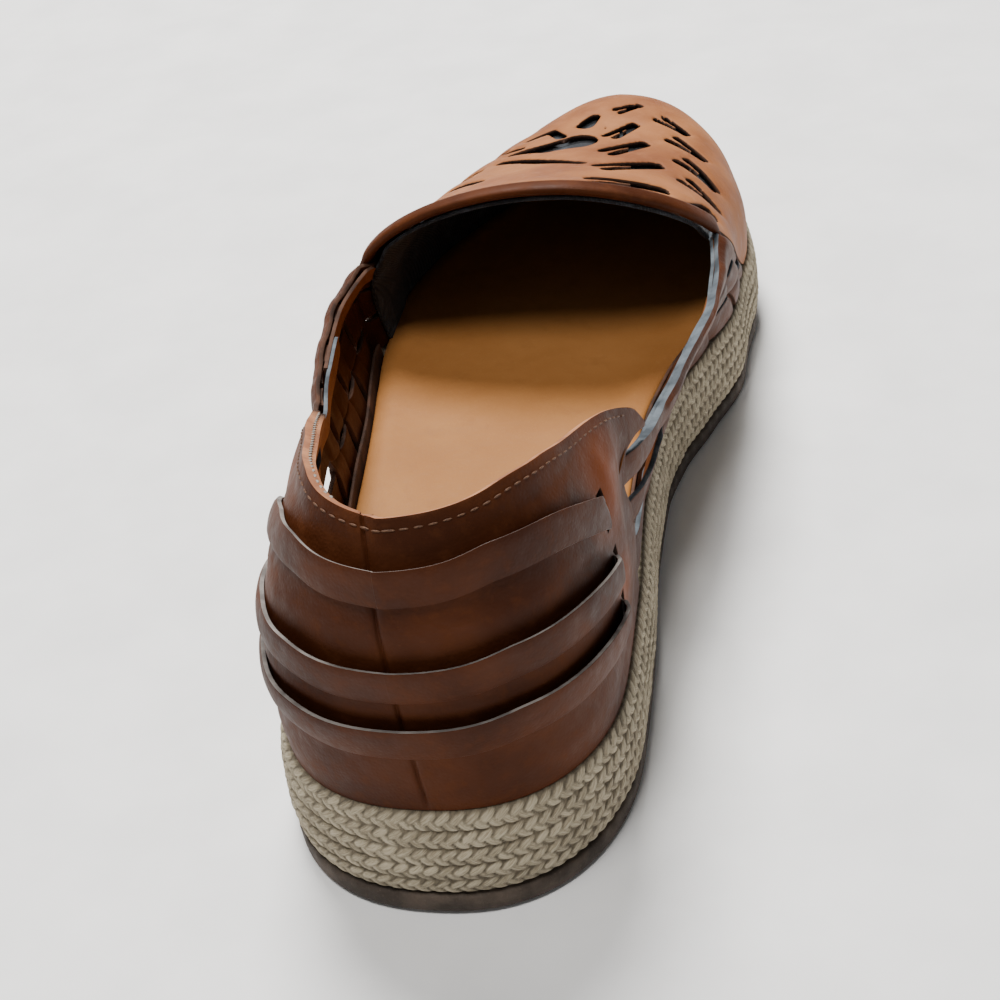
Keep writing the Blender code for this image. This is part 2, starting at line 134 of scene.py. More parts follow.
TOPLINE_ROWS = (
    (0.00, 80.5, 80.5),
    (0.04, 80.5, 80.3),
    (0.10, 78.4, 77.5),
    (0.15, 74.9, 74.0),
    (0.22, 69.3, 68.0),
    (0.27, 62.6, 62.5),
    (0.31, 53.0, 55.5),
    (0.35, 50.0, 53.5),
    (0.40, 49.0, 52.2),
    (0.50, 47.5, 50.5),
    (0.60, 47.0, 49.5),
)
COUNTER_COLUMNS = ("above_slots", "front")
COUNTER_ROWS = (
    (0.00, 64.0),
    (0.00, 61.6),
    (0.00, 59.8),
    (0.00, 59.2),
    (0.00, 58.2),
    (0.00, 57.3),
    (0.00, 61.2),
    (0.45, 70.4),
    (0.80, 73.6),
    (1.00, 70.2),
)
STRAP_COLUMNS = ("back_low", "back_high", "slot_low", "slot_high", "gap_above")
STRAPS = {
    "heel_strap_top": (66.4, 72.4, 55.4, 61.8, 1.9),
    "heel_strap_mid": (48.4, 55.0, 43.4, 49.8, 1.5),
    "heel_strap_low": (36.0, 43.0, 33.0, 39.6, 1.4),
}
SLOT_ROWS = (1, 3, 5)
SLOT_FROM = 38.8
SLOT_TO = 41.4
SLOT_MARGIN = 0.8
STRAP_SAG = 1.2
STRAP_SAG_RUN = 6.0
COUNTER_BEND = 50.0
COUNTER_WALL = 1.5
LINING_END = 51.5
TOP_STRAP_WALL = 1.5
STRAP_WALL = 1.1
LINING_WALL = 1.2
UPPER_WALL = 1.5

THROAT_Y = 149.5
THROAT_LEAD = {"medial": 46.0, "lateral": 8.0}
THROAT_LEAN = 1.8
FAN_COLUMNS = ("share", "amount")
FAN_ROWS = ((0.00, 0.0), (0.26, 0.0), (0.59, 1.0), (0.75, 0.62), (1.00, 0.0))

# The three lengthwise straps of each quarter: height of the bundle's top edge, and the share of the
# height at which each strap starts and ends, where they leave the counter and where they are woven.
BUNDLE_COLUMNS = ("share", "medial", "lateral")
BUNDLE_ROWS = (
    (0.18, 58.5, 60.0),
    (0.23, 57.0, 58.5),
    (0.275, 53.3, 56.0),
    (0.31, 50.6, 54.6),
    (0.35, 49.6, 53.2),
    (0.40, 48.8, 52.0),
    (0.50, 47.5, 50.5),
    (0.60, 47.0, 49.5),
)
QUARTER_COLUMNS = ("low_open", "high_open", "low_woven", "high_woven")
QUARTER_STRAPS = (
    (0.06, 0.32, 0.03, 0.32),
    (0.46, 0.65, 0.355, 0.655),
    (0.80, 1.00, 0.69, 1.00),
)
QUARTER_START = 52.6
QUARTER_END = 166.0
WOVEN_FROM = 80.0
WOVEN_RUN = 13.0
STRIP_FROM = 90.0
STRIP_PITCH = 9.4
STRIP_COUNT = 6
STRIP_WIDTH = 7.2
WEAVE_HALF = 0.72


def table(columns, rows):
    """Rows of numbers as one array for each named column."""
    return dict(zip(columns, np.array(rows, float).T))


PLAN = table(PLAN_COLUMNS, PLAN_ROWS)
BODY = table(BODY_COLUMNS, BODY_ROWS)
TOPLINE = table(TOPLINE_COLUMNS, TOPLINE_ROWS)
BUNDLE = table(BUNDLE_COLUMNS, BUNDLE_ROWS)
COUNTER = table(COUNTER_COLUMNS, COUNTER_ROWS)
FAN = table(FAN_COLUMNS, FAN_ROWS)


# ---------------------------------------------------------------- the last's surface

def curve(x, y, at):
    """A smooth curve through the points (x, y) that never overshoots them, read at the places at."""
    step = np.diff(x)
    rise = np.diff(y) / step
    slope = np.zeros_like(y)
    slope[0] = rise[0]
    slope[-1] = rise[-1]
    same_way = rise[:-1] * rise[1:] > 0
    before = 2 * step[1:] + step[:-1]
    after = step[1:] + 2 * step[:-1]
    safe = np.where(same_way, rise[:-1] * rise[1:], 1.0)
    mean = (before + after) * safe / (before * rise[1:] + after * rise[:-1] + (~same_way))
    slope[1:-1] = np.where(same_way, mean, 0.0)
    at = np.clip(at, x[0], x[-1])
    i = np.clip(np.searchsorted(x, at, side="right") - 1, 0, len(step) - 1)
    u = (at - x[i]) / step[i]
    return (
        (2 * u**3 - 3 * u**2 + 1) * y[i]
        + (u**3 - 2 * u**2 + u) * step[i] * slope[i]
        + (3 * u**2 - 2 * u**3) * y[i + 1]
        + (u**3 - u**2) * step[i] * slope[i + 1]
    )


def smoothstep(x):
    x = np.clip(x, 0.0, 1.0)
    return x * x * (3 - 2 * x)


def by_side(named, column, share, side):
    """A column that has a medial and a lateral version, read on the side given as +1 or -1."""
    medial = curve(named["share"], named[column + "medial"], share)
    lateral = curve(named["share"], named[column + "lateral"], share)
    return np.where(np.asarray(side) > 0, medial, lateral)


def foot(turn):
    """Plan of the upper's foot: turn runs from 0 at the heel along the medial side and round to 1."""
    along = LENGTH * (1 - np.cos(2 * np.pi * turn)) / 2
    heel = np.clip(1 - along / HEEL_ROUND, 0, 1)
    toe = np.clip(1 - (LENGTH - along) / TOE_ROUND, 0, 1)
    narrow = (1 - heel**HEEL_FULLNESS) ** (1 / HEEL_FULLNESS)
    narrow = narrow * (1 - toe**TOE_FULLNESS) ** (1 / TOE_FULLNESS)
    swing = TOE_SWING * smoothstep(1 - (LENGTH - along) / TOE_SWING_RUN)
    hand = np.where((turn % 1) <= 0.5, 1.0, -1.0)
    x = swing + hand * by_side(PLAN, "", along / LENGTH, hand) * narrow
    y = END_INSET + along * (LENGTH - 2 * END_INSET) / LENGTH
    return x, y


def outline_at(turn, grow=0.0, heel_grow=None):
    """The foot's plan moved grow outwards, and heel_grow at the back of the heel."""
    x, y = foot(turn)
    x1, y1 = foot(turn + 1e-4)
    x0, y0 = foot(turn - 1e-4)
    size = np.hypot(x1 - x0, y1 - y0)
    normal_x = (y1 - y0) / size
    normal_y = (x0 - x1) / size
    if heel_grow is not None:
        grow = grow + (heel_grow - grow) * np.minimum(normal_y, 0) ** 2
    return x + grow * normal_x, y + grow * normal_y


def outline(station, side, grow=0.0, heel_grow=None):
    turn = np.arccos(np.clip(1 - 2 * np.asarray(station, float) / LENGTH, -1, 1)) / (2 * np.pi)
    turn = np.where(np.asarray(side) > 0, turn, 1 - turn)
    return outline_at(turn, grow, heel_grow)


def spring(y):
    """How far the sole rises at the toe."""
    return TOE_SPRING * np.clip((y / LENGTH - SPRING_START) / (1 - SPRING_START), 0, 1) ** 2


def waist_lift(y):
    """The lift of the sole's waist, between the flat heel and the flat ball of the foot."""
    middle = (y / LENGTH - WAIST_MIDDLE) / WAIST_REACH
    return WAIST_LIFT * (1 - smoothstep(np.abs(middle)))


def ridge_station(y):
    """Where the section through y meets the ridge, which stops short of both ends."""
    raised = RIDGE_FROM + RIDGE_SOFTNESS * np.logaddexp(0, (y - RIDGE_FROM) / RIDGE_SOFTNESS)
    return RIDGE_TO - RIDGE_SOFTNESS * np.logaddexp(0, (RIDGE_TO - raised) / RIDGE_SOFTNESS)


def last_point(station, side, v, grow=0.0):
    """A point of the upper's outer surface, moved grow outwards."""
    station, side, v, grow = np.broadcast_arrays(station, side, v, grow)
    x, y = outline(station, side)
    y_ridge = ridge_station(y)
    share = y_ridge / LENGTH
    x_ridge = curve(BODY["share"], BODY["ridge_x"], share)
    height = curve(BODY["share"], BODY["ridge_height"], share)
    power = 2 / curve(BODY["share"], BODY["fullness"], share)
    angle = v * np.pi / 2
    out = np.clip(np.cos(angle), 0, 1) ** power
    up = np.clip(np.sin(angle), 0, 1) ** power
    dx = x - x_ridge
    dy = y - y_ridge
    reach = np.hypot(dx, dy) + 1e-9
    sideways = np.abs(dx) / reach
    bulge = by_side(BODY, "bulge_", share, side) * sideways + BACK_BULGE * (1 - sideways)
    splay = by_side(BODY, "splay_", share, side) * sideways * SPLAY_PEAK * v**2 * (1 - v) ** 3
    drawn = by_side(BODY, "draw_", share, side) * sideways * smoothstep((v - COLLAR_FROM) / COLLAR_RUN)
    wide = reach * out + bulge * np.sin(2 * angle) + splay - drawn + grow * out
    px = x_ridge + dx / reach * wide
    py = y_ridge + dy / reach * wide
    return np.stack([px, py, SOLE_TOP + spring(py) + height * up + grow * up], -1)


def v_at_height(station, side, height):
    """The v at which the last's surface reaches a height above the floor."""
    _, y = outline(station, side)
    share = ridge_station(y) / LENGTH
    ridge = curve(BODY["share"], BODY["ridge_height"], share)
    fullness = curve(BODY["share"], BODY["fullness"], share)
    rise = np.clip((height - SOLE_TOP - spring(y)) / ridge, 0, 1)
    return np.arcsin(rise ** (fullness / 2)) * 2 / np.pi


def slanted(station, side, v):
    """The column through a ridge station leans forward towards its foot, in a fan about the throat."""
    lead = np.where(np.asarray(side) > 0, THROAT_LEAD["medial"], THROAT_LEAD["lateral"])
    fan = curve(FAN["share"], FAN["amount"], np.asarray(station) / LENGTH)
    return np.clip(station + lead * fan * (1 - v) ** THROAT_LEAN, 0, LENGTH)


def top_v(station, side, line=None):
    """The v of the upper's top edge behind the throat, or of another line of heights."""
    height = by_side(line or TOPLINE, "", np.asarray(station) / LENGTH, side)
    v = np.full(np.shape(station), 0.4)
    for _ in range(4):
        v = v_at_height(slanted(station, side, v), side, height)
    return v


def even_stations(first, last, count):
    """Stations with even spacing round the outline, from first to last."""
    turns = np.arccos(1 - 2 * np.array([first, last]) / LENGTH)
    return LENGTH * (1 - np.cos(np.linspace(turns[0], turns[1], count + 1))) / 2


def even_turns(count):
    """Turns evenly spaced along the sole's outline, and its whole length."""
    turn = np.linspace(0, 1, 6001)
    x, y = foot(turn)
    run = np.concatenate([[0.0], np.cumsum(np.hypot(np.diff(x), np.diff(y)))])
    return np.interp(np.linspace(0, run[-1], count + 1), run, turn), run[-1]


def shoe_middle():
    """The middle of the sole's outline, which is the part's origin on the floor."""
    stations = even_stations(0, LENGTH, 200)
    x, y = [], []
    for _, grow, heel_grow, _ in OUTSOLE_EDGE + JUTE_EDGE:
        for side in (1.0, -1.0):
            edge_x, edge_y = outline(stations, side, grow, heel_grow)
            x += [edge_x.min(), edge_x.max()]
            y += [edge_y.min(), edge_y.max()]
    return (min(x) + max(x)) / 2, (min(y) + max(y)) / 2


MIDDLE_X, MIDDLE_Y = shoe_middle()


def edge_at(rows, height):
    """A layer's stand-off at its side, at its heel, and its share of the waist's lift, at a height."""
    named = table(EDGE_COLUMNS, rows)
    return [curve(named["height"], named[column], height) for column in EDGE_COLUMNS[1:]]


def edge_ring(layer, turns, height, out):
    """A ring round the sole at a height, out beyond the layer's own edge."""
    grow, heel_grow, lift = edge_at(layer, height)
    x, y = outline_at(turns, grow + out, heel_grow + out)
    return np.stack([x, y, height + spring(y) + lift * waist_lift(y)], -1)


def across_sole(stations, across, *grow):
    """Places from the lateral edge to the medial edge of a sole layer, with its width at each."""
    x1, y1 = outline(stations, 1.0, *grow)
    x0, y0 = outline(stations, -1.0, *grow)
    x = x0[:, None] + across * (x1 - x0)[:, None]
    y = y0[:, None] + across * (y1 - y0)[:, None]
    return x, y, np.abs(x1 - x0)[:, None]


# ---------------------------------------------------------------- meshes

def grid_mesh(points):
    """A bmesh grid with one corner at each of points[row, column]."""
    rows, columns = points.shape[:2]
    mesh = bmesh.new()
    bmesh.ops.create_grid(mesh, x_segments=columns - 1, y_segments=rows - 1, size=1.0)
    mesh.verts.ensure_lookup_table()
    for vertex, place in zip(mesh.verts, points.reshape(-1, 3)):
        vertex.co = place
    mesh.faces.ensure_lookup_table()
    return mesh


def note_on(mesh, name, values):
    """Keeps one number for each of the mesh's corners, for its material to read."""
    layer = mesh.verts.layers.float.new(name)
    for vertex, value in zip(mesh.verts, np.asarray(values, float).ravel()):
        vertex[layer] = value


def lofted(sections, cap=True, materials=None):
    """A closed bar through sections[place, corner], with both ends closed.

    materials[place, corner] says which of the piece's materials each face takes.
    """
    around = np.concatenate([sections, sections[:, :1]], axis=1)
    mesh = grid_mesh(around)
    if materials is not None:
        for face, material in zip(mesh.faces, materials.ravel().tolist()):
            face.material_index = material
    bmesh.ops.remove_doubles(mesh, verts=mesh.verts, dist=JOIN_WITHIN)
    if cap:
        open_edges = [edge for edge in mesh.edges if edge.is_boundary]
        bmesh.ops.holes_fill(mesh, edges=open_edges, sides=0)
    bmesh.ops.recalc_face_normals(mesh, faces=mesh.faces)
    return mesh


def joined(meshes):
    """Several bmeshes as one."""
    whole = bmesh.new()
    for mesh in meshes:
        data = bpy.data.meshes.new("part of a piece")
        mesh.to_mesh(data)
        mesh.free()
        whole.from_mesh(data)
        bpy.data.meshes.remove(data)
    return whole


def turned_out(mesh, hand):
    """Turns the faces of a lateral sheet outwards, because it is laid out as the medial one is."""
    if hand < 0:
        bmesh.ops.reverse_faces(mesh, faces=mesh.faces)
    return mesh


def clear_of_sole(points):
    """Lifts the points of a sheet's foot that would sink into the sole."""
    points[..., 2] = np.maximum(points[..., 2], SOLE_TOP + SOLE_CLEAR + spring(points[..., 1]))
    return points


def drop_loose(mesh):
    """Deletes the corners that no face uses any more."""
    loose = [vertex for vertex in mesh.verts if not vertex.link_faces]
    bmesh.ops.delete(mesh, geom=loose, context="VERTS")


def make_piece(name, mesh, materials, stands_for=(), sharp=40):
    """The finished bmesh as an object in metres about the part's origin, riding on the shoe."""
    bmesh.ops.translate(mesh, verts=mesh.verts, vec=(-MIDDLE_X, -MIDDLE_Y, 0.0))
    bmesh.ops.scale(mesh, verts=mesh.verts, vec=(MM, MM, MM))
    data = bpy.data.meshes.new(name)
    mesh.to_mesh(data)
    mesh.free()
    data.shade_smooth()
    data.set_sharp_from_angle(angle=np.radians(sharp))
    piece = bpy.data.objects.new(name, data)
    bpy.context.scene.collection.objects.link(piece)
    for material in materials:
        data.materials.append(material)
    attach(piece, "root")
    if stands_for:
        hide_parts(*stands_for)
    return piece


def add_wall(piece, thickness, edge_material=0, even=True):
    """Gives an open sheet a wall behind it, with its cut edges in their own material."""
    wall = piece.modifiers.new("wall", "SOLIDIFY")
    wall.thickness = thickness * MM
    wall.offset = -1.0
    wall.use_even_offset = even
    wall.use_rim = True
    wall.material_offset_rim = edge_material


def round_edges(piece, width, segments=2):
    """Rounds the sharp edges of a piece."""
    rounding = piece.modifiers.new("rounded edges", "BEVEL")
    rounding.width = width * MM
    rounding.segments = segments
    rounding.limit_method = "ANGLE"
    rounding.angle_limit = np.radians(50)


def both_sides(values):
    """Values for the columns from the lateral front round the heel's back to the medial front."""
    return np.concatenate([values[:0:-1], values])


def side_of(columns):
    """The side of each column that both_sides gives."""
    return np.where(np.arange(columns) < columns // 2, -1.0, 1.0)


# ---------------------------------------------------------------- materials

def linear(code):
    """An sRGB hex colour as the linear values that a shader takes."""
    values = np.array([int(code[i:i + 2], 16) for i in (0, 2, 4)]) / 255
    low = values / 12.92
    high = ((values + 0.055) / 1.055) ** 2.4
    return (*np.where(values <= 0.04045, low, high), 1.0)


class Finish:
    """A material being built: its nodes are added one after another."""

    def __init__(self, name, roughness=0.5, specular=0.5, sheen=0.0, coat=0.0):
        self.material = bpy.data.materials.new(name)
        self.material.use_nodes = True
        self.tree = self.material.node_tree
        self.shader = self.tree.nodes["Principled BSDF"]
        self.shader.inputs["Roughness"].default_value = roughness
        self.shader.inputs["Specular IOR Level"].default_value = specular
        self.shader.inputs["Sheen Weight"].default_value = sheen
        self.shader.inputs["Coat Weight"].default_value = coat
        self.place = self.node("ShaderNodeTexCoord").outputs["Object"]

    def node(self, kind, links=(), values=(), **settings):
        """Adds a node with its settings, its constant inputs and the links into it."""
        new = self.tree.nodes.new(kind)
        for name, value in settings.items():
            setattr(new, name, value)
        for name, value in dict(values).items():
            new.inputs[name].default_value = value
        for name, source in dict(links).items():
            self.tree.links.new(source, new.inputs[name])
        return new

    def stretched(self, scale):
        """The piece's own coordinates, scaled apart along each axis."""
        return self.node("ShaderNodeMapping", {"Vector": self.place}, {"Scale": scale}).outputs[0]

    def noise(self, size_mm, detail=4.0, rough=0.55, place=None, distortion=0.0):
        """A cloudy pattern whose blotches are about size_mm wide."""
        values = {"Scale": 1 / (size_mm * MM), "Detail": detail, "Roughness": rough,
                  "Distortion": distortion}
        return self.node("ShaderNodeTexNoise", {"Vector": place or self.place}, values).outputs["Fac"]

    def cells(self, size_mm, place=None, feature="F1"):
        """A pattern of cells about size_mm wide, dark at each cell's middle."""
        return self.node(
            "ShaderNodeTexVoronoi", {"Vector": place or self.place}, {"Scale": 1 / (size_mm * MM)},
            feature=feature,
        ).outputs["Distance"]

    def near(self, place, reach):
        """Rises to 1 at a place, from 0 at reach away from it, both in millimetres."""
        apart = self.node(
            "ShaderNodeVectorMath", {0: self.place}, {1: [MM * value for value in place]},
            operation="DISTANCE",
        ).outputs["Value"]
        return self.spread(apart, 0.0, reach * MM, 1.0, 0.0)

    def note(self, name):
        """A number kept on the mesh's corners."""
        return self.node("ShaderNodeAttribute", attribute_name=name).outputs["Fac"]

    def spread(self, value, low, high, to_low=0.0, to_high=1.0):
        """A value's range from low to high, moved to another range and held there."""
        values = {"From Min": low, "From Max": high, "To Min": to_low, "To Max": to_high}
        return self.node("ShaderNodeMapRange", {"Value": value}, values).outputs["Result"]

    def maths(self, operation, a, b):
        """Two values, or a value and a constant, put together."""
        links = {0: a}
        values = {}
        if isinstance(b, (int, float)):
            values[1] = b
        else:
            links[1] = b
        return self.node("ShaderNodeMath", links, values, operation=operation).outputs[0]

    def blend(self, amount, first, second):
        """Goes from the first colour to the second as the amount rises; each is a hex or an output."""
        new = self.node("ShaderNodeMix", data_type="RGBA")
        sockets = [new.inputs[6], new.inputs[7]]
        for socket, colour in zip(sockets, (first, second)):
            if isinstance(colour, str):
                socket.default_value = linear(colour)
            else:
                self.tree.links.new(colour, socket)
        self.tree.links.new(amount, new.inputs[0])
        return new.outputs[2]

    def raised(self, height, depth_mm, below=None):
        """Small relief that the mesh doesn't hold."""
        links = {"Height": height}
        if below is not None:
            links["Normal"] = below
        return self.node("ShaderNodeBump", links, {"Distance": depth_mm * MM, "Strength": 1.0}).outputs[0]

    def done(self, colour, normal=None, roughness=None):
        self.tree.links.new(colour, self.shader.inputs["Base Color"])
        if normal is not None:
            self.tree.links.new(normal, self.shader.inputs["Normal"])
        if roughness is not None:
            self.tree.links.new(roughness, self.shader.inputs["Roughness"])
        return self.material


# Painted highlight: the bright orange-brown laid on the hide where light catches it, and how strongly.
HIGHLIGHT_DYE = "87451f"
HIGHLIGHT_SHARE = 0.75


def smooth_leather(name, deep, middle, light, roughness, highlights=()):
    """Waxed smooth cowhide: cloudy dye, fine pores, faint scuffs and long pull lines.

    It may carry painted highlights, a bright orange-brown at places, each given with its reach.
    """
    hide = Finish(name, roughness=roughness, specular=0.11)
    cloud = hide.noise(20.0, detail=2.0)
    fine = hide.noise(3.2, detail=5.0, rough=0.62)
    pull = hide.noise(7.0, detail=4.0, place=hide.stretched((0.35, 0.35, 1.6)))
    dye = hide.blend(hide.spread(cloud, 0.36, 0.62), deep, middle)
    dye = hide.blend(hide.spread(fine, 0.5, 0.78, 0.0, 0.35), dye, light)
    dye = hide.blend(hide.spread(pull, 0.56, 0.76, 0.0, 0.5), dye, deep)
    scuff = hide.noise(1.1, detail=3.0, place=hide.stretched((0.5, 1.0, 1.0)))
    dye = hide.blend(hide.spread(scuff, 0.68, 0.8, 0.0, 0.35), dye, light)
    for place, reach in highlights:
        highlit = hide.maths("MULTIPLY", hide.near(place, reach), HIGHLIGHT_SHARE)
        dye = hide.blend(highlit, dye, HIGHLIGHT_DYE)
    pores = hide.cells(0.75)
    grain = hide.raised(hide.spread(pores, 0.0, 0.6), 0.03)
    waves = hide.raised(hide.noise(7.0, detail=2.0), 0.3, below=grain)
    shine = hide.spread(fine, 0.3, 0.75, roughness - 0.08, roughness + 0.13)
    return hide.done(dye, waves, shine)


# Where the counter carries a painted highlight, about the part's origin, and how far round each place.
PAINTED_HIGHLIGHTS = (
    ((34.5, -77.5, 61.5), 15.0),
    ((-32.0, -77.5, 61.5), 12.0),
    ((33.0, -80.0, 40.0), 9.0),
)
# Cognac cowhide of the counter and the throat band: warm red-brown with cloudy dye, with painted
# orange highlights where the hide bends in front of the slots.
# Its dye is painted darker than the vamp's, as the shaded copy of the same leather.
COUNTER_HIDE_SHADED = smooth_leather("cognac_leather", "3b1b0a", "4e2710", "65381b", 0.56, highlights=PAINTED_HIGHLIGHTS)
# The vamp's hide is the same leather as the counter's, painted paler and pinker as its lit copy, and
# left nearly matt.
LIT_VAMP_HIDE = smooth_leather("vamp_leather_painted_lit", "7f4e33", "9b653f", "b27a56", 0.6)
# Strap leather: the same hide a shade darker, and smoother from being pulled through its slots. The
# quarters' straps and strips are cut from it too.
STRAP_HIDE = smooth_leather("strap_leather", "391b0c", "4c2713", "63371e", 0.54)


def inner_leather():
    """Unwaxed lining leather inside the quarters and the collar: matt, mottled, orange-brown."""
    hide = Finish("lining_leather", roughness=0.66, specular=0.3)
    cloud = hide.spread(hide.noise(14.0, detail=4.0), 0.36, 0.64)
    nap = hide.noise(0.9, detail=4.0, rough=0.7)
    dye = hide.blend(cloud, "7a4722", "935c30")
    dye = hide.blend(hide.spread(nap, 0.5, 0.78, 0.0, 0.4), dye, "ad7947")
    return hide.done(dye, hide.raised(nap, 0.12))


def insole_leather():
    """Tan insole leather: even warm tan with faint cloudy wear, fine grain and small dents."""
    hide = Finish("insole_leather", roughness=0.6, specular=0.22)
    cloud = hide.spread(hide.noise(38.0, detail=4.0), 0.35, 0.65)
    grain = hide.noise(0.8, detail=4.0, rough=0.65)
    stain = hide.spread(hide.noise(9.0, detail=5.0, distortion=0.6), 0.56, 0.75, 0.0, 0.4)
    dye = hide.blend(cloud, "93602f", "a06c3a")
    dye = hide.blend(stain, dye, "85562a")
    dye = hide.blend(hide.spread(grain, 0.55, 0.8, 0.0, 0.3), dye, "ae804e")
    dents = hide.raised(hide.noise(5.0, detail=2.0), 0.2, below=hide.raised(grain, 0.06))
    return hide.done(dye, dents, hide.spread(grain, 0.3, 0.8, 0.54, 0.7))


# The darkening of a cut edge's lower part: its colour, and the height over which it fades out upwards.
LOW_EDGE_DARK = "2c1a10"
LOW_EDGE_FADE = 4.0


def cut_edge(name, dark, pale, darker_below=None):
    """A cut edge of leather, undyed and fibrous: grey-tan with short dark fibres along the cut.

    Below a height it may be darker, as the slots' and the ears' edges are.
    """
    edge = Finish(name, roughness=0.78, specular=0.25)
    fibre = edge.noise(0.5, detail=5.0, rough=0.7)
    patch = edge.spread(edge.noise(6.0, detail=3.0), 0.38, 0.62)
    dye = edge.blend(patch, dark, pale)
    dye = edge.blend(edge.spread(fibre, 0.5, 0.8, 0.0, 0.5), dye, dark)
    if darker_below is not None:
        height = edge.node("ShaderNodeSeparateXYZ", {"Vector": edge.place}).outputs["Z"]
        darkened = edge.spread(height, (darker_below - LOW_EDGE_FADE) * MM, darker_below * MM, 1.0, 0.0)
        dye = edge.blend(darkened, dye, LOW_EDGE_DARK)
    return edge.done(dye, edge.raised(fibre, 0.07))


# The straps' cut edges are grey, and catch the light as thin lines above each shadow.
GREY_EDGE = cut_edge("grey_cut_edge", "615c59", "8f8984")
# The medial quarter's cut edges are a darker, bluer grey than the heel straps'.
SHADE_EDGE = cut_edge("blue_grey_cut_edge", "3a4046", "60686f")
# The collar's cut edges are pink-tan, which draws the pale rim round the opening.
COLLAR_EDGE = cut_edge("pale_cut_edge", "8a5a40", "b07a57", darker_below=66.0)
# The cut edges of the slits, the upright strips and the lateral quarter are dark and finished with wax.
# On the lateral quarter and the strips this darkness is partly painted shade, and inside the heel
# straps' slots and along the quarters' feet the same colour is painted shade alone.
DARK_EDGE_AND_SHADE = cut_edge("dark_cut_edge_and_painted_shade", "33221a", "54392b")


# How often the fibres' pattern repeats for each millimetre along and across a strand, and with the
# strand's tone, so that no two strands share a pattern.
FIBRE_REPEATS = (0.55, 5.5, 40.0)


def jute_fibre():
    """Jute cord: dry beige-grey bast fibres, each strand with its own tone, with painted shade in the
    crevices.
    """
    cord = Finish("jute_braid", roughness=0.92, specular=0.15, sheen=0.08)
    tone = cord.note("tone")
    crevice_shade = cord.note("crevice_shade")
    fibre = cord.node(
        "ShaderNodeCombineXYZ", {"X": cord.note("along"), "Y": cord.note("across"), "Z": tone}
    ).outputs[0]
    run = cord.node("ShaderNodeMapping", {"Vector": fibre}, {"Scale": FIBRE_REPEATS}).outputs[0]
    hair = cord.node(
        "ShaderNodeTexNoise", {"Vector": run}, {"Scale": 1.0, "Detail": 3.0, "Roughness": 0.6}
    ).outputs["Fac"]
    dye = cord.blend(tone, "92866f", "b6a98f")
    dye = cord.blend(cord.spread(hair, 0.42, 0.72, 0.0, 0.6), dye, "d2c7b0")
    dye = cord.blend(cord.spread(hair, 0.28, 0.46, 0.6, 0.0), dye, "7c705c")
    # Painted shade: the crevices between strands are darkened.
    dye = cord.blend(cord.spread(crevice_shade, 0.0, 0.6, 0.7, 0.0), dye, "544939")
    return cord.done(dye, cord.raised(hair, 0.3))


def sole_rubber():
    """Rubber of the outsole: dark brown-grey, dull, dusty in patches, with fine moulding grain."""
    rubber = Finish("outsole_rubber", roughness=0.72, specular=0.3)
    dust = rubber.spread(rubber.noise(8.0, detail=5.0), 0.45, 0.7)
    grit = rubber.noise(0.6, detail=4.0, rough=0.7)
    dye = rubber.blend(dust, "3d342d", "5a4e44")
    dye = rubber.blend(rubber.spread(grit, 0.55, 0.8, 0.0, 0.4), dye, "73665a")
    return rubber.done(dye, rubber.raised(grit, 0.12), rubber.spread(grit, 0.3, 0.8, 0.62, 0.82))


# Millimetres from thread to thread, and the angle that a wave texture turns for one unit of scale.
THREAD_SPACING = 0.349
WAVE_ANGLE = 20.0


def woven_lining():
    """Charcoal cloth under the vamp: a plain weave of dark blue-grey threads."""
    cloth = Finish("vamp_lining_cloth", roughness=0.88, specular=0.2, sheen=0.15)
    scale = 2 * np.pi / (WAVE_ANGLE * THREAD_SPACING * MM)
    values = {"Scale": scale, "Distortion": 0.6, "Detail": 1.0}
    warp, weft = (
        cloth.node("ShaderNodeTexWave", {"Vector": cloth.place}, values, bands_direction=way)
        for way in "XY"
    )
    weave = cloth.maths("MULTIPLY", warp.outputs["Fac"], weft.outputs["Fac"])
    dye = cloth.blend(weave, "202328", "3a4047")
    dye = cloth.blend(cloth.spread(cloth.noise(5.0), 0.5, 0.7, 0.0, 0.5), dye, "4d545d")
    return cloth.done(dye, cloth.raised(weave, 0.15))


def sewing_thread(name, dark, pale):
    """Waxed sewing thread, twisted from two plies."""
    thread = Finish(name, roughness=0.6, specular=0.3)
    ply = thread.noise(0.35, detail=3.0)
    return thread.done(thread.blend(thread.spread(ply, 0.35, 0.65), dark, pale), thread.raised(ply, 0.08))


INNER_HIDE = inner_leather()
INSOLE_HIDE = insole_leather()
JUTE = jute_fibre()
RUBBER = sole_rubber()
LINING_CLOTH = woven_lining()
# Brown thread sews the collar's outside, and grey thread shows on its lining and its lateral rim.
BROWN_THREAD = sewing_thread("collar_thread", "412718", "694932")
GREY_THREAD = sewing_thread("ear_thread", "6e6760", "978f87")


# ---------------------------------------------------------------- the sole

PLAIT_ROWS = 5
PLAIT_PITCH = 2.6
PLAIT_LEAN = np.radians(36)
STRAND_LONG = 1.86
STRAND_WIDE = 0.78
STRAND_RISE = 0.46
STRAND_ASIDE = 0.42
STRAND_WIDTHS = (0.92, 0.16)
STRAND_HEIGHTS = (0.86, 0.24)
FIBRE_SHIFT = 9.0
PLAIT_PHASES = (0.0, 0.37, 0.71, 0.2, 0.55)
CORD_ROUNDING = 0.4
CORD_INSET = 0.2
CORD_FULL = 1.04
GROOVE_RELIEF = 0.45
GROOVE_SHADE = 0.3
# The plaits wander up and down as they go round: amount, waves round the shoe, and start.
WRAP_WANDER = ((0.35, 5, 0.0), (0.25, 13, 1.0))
WALL_DEPTH = 9.0
JUTE_COLUMNS = 1500
JUTE_LEVELS = 45
JUTE_BOTTOM = OUTSOLE_TOP + LAYER_GAP


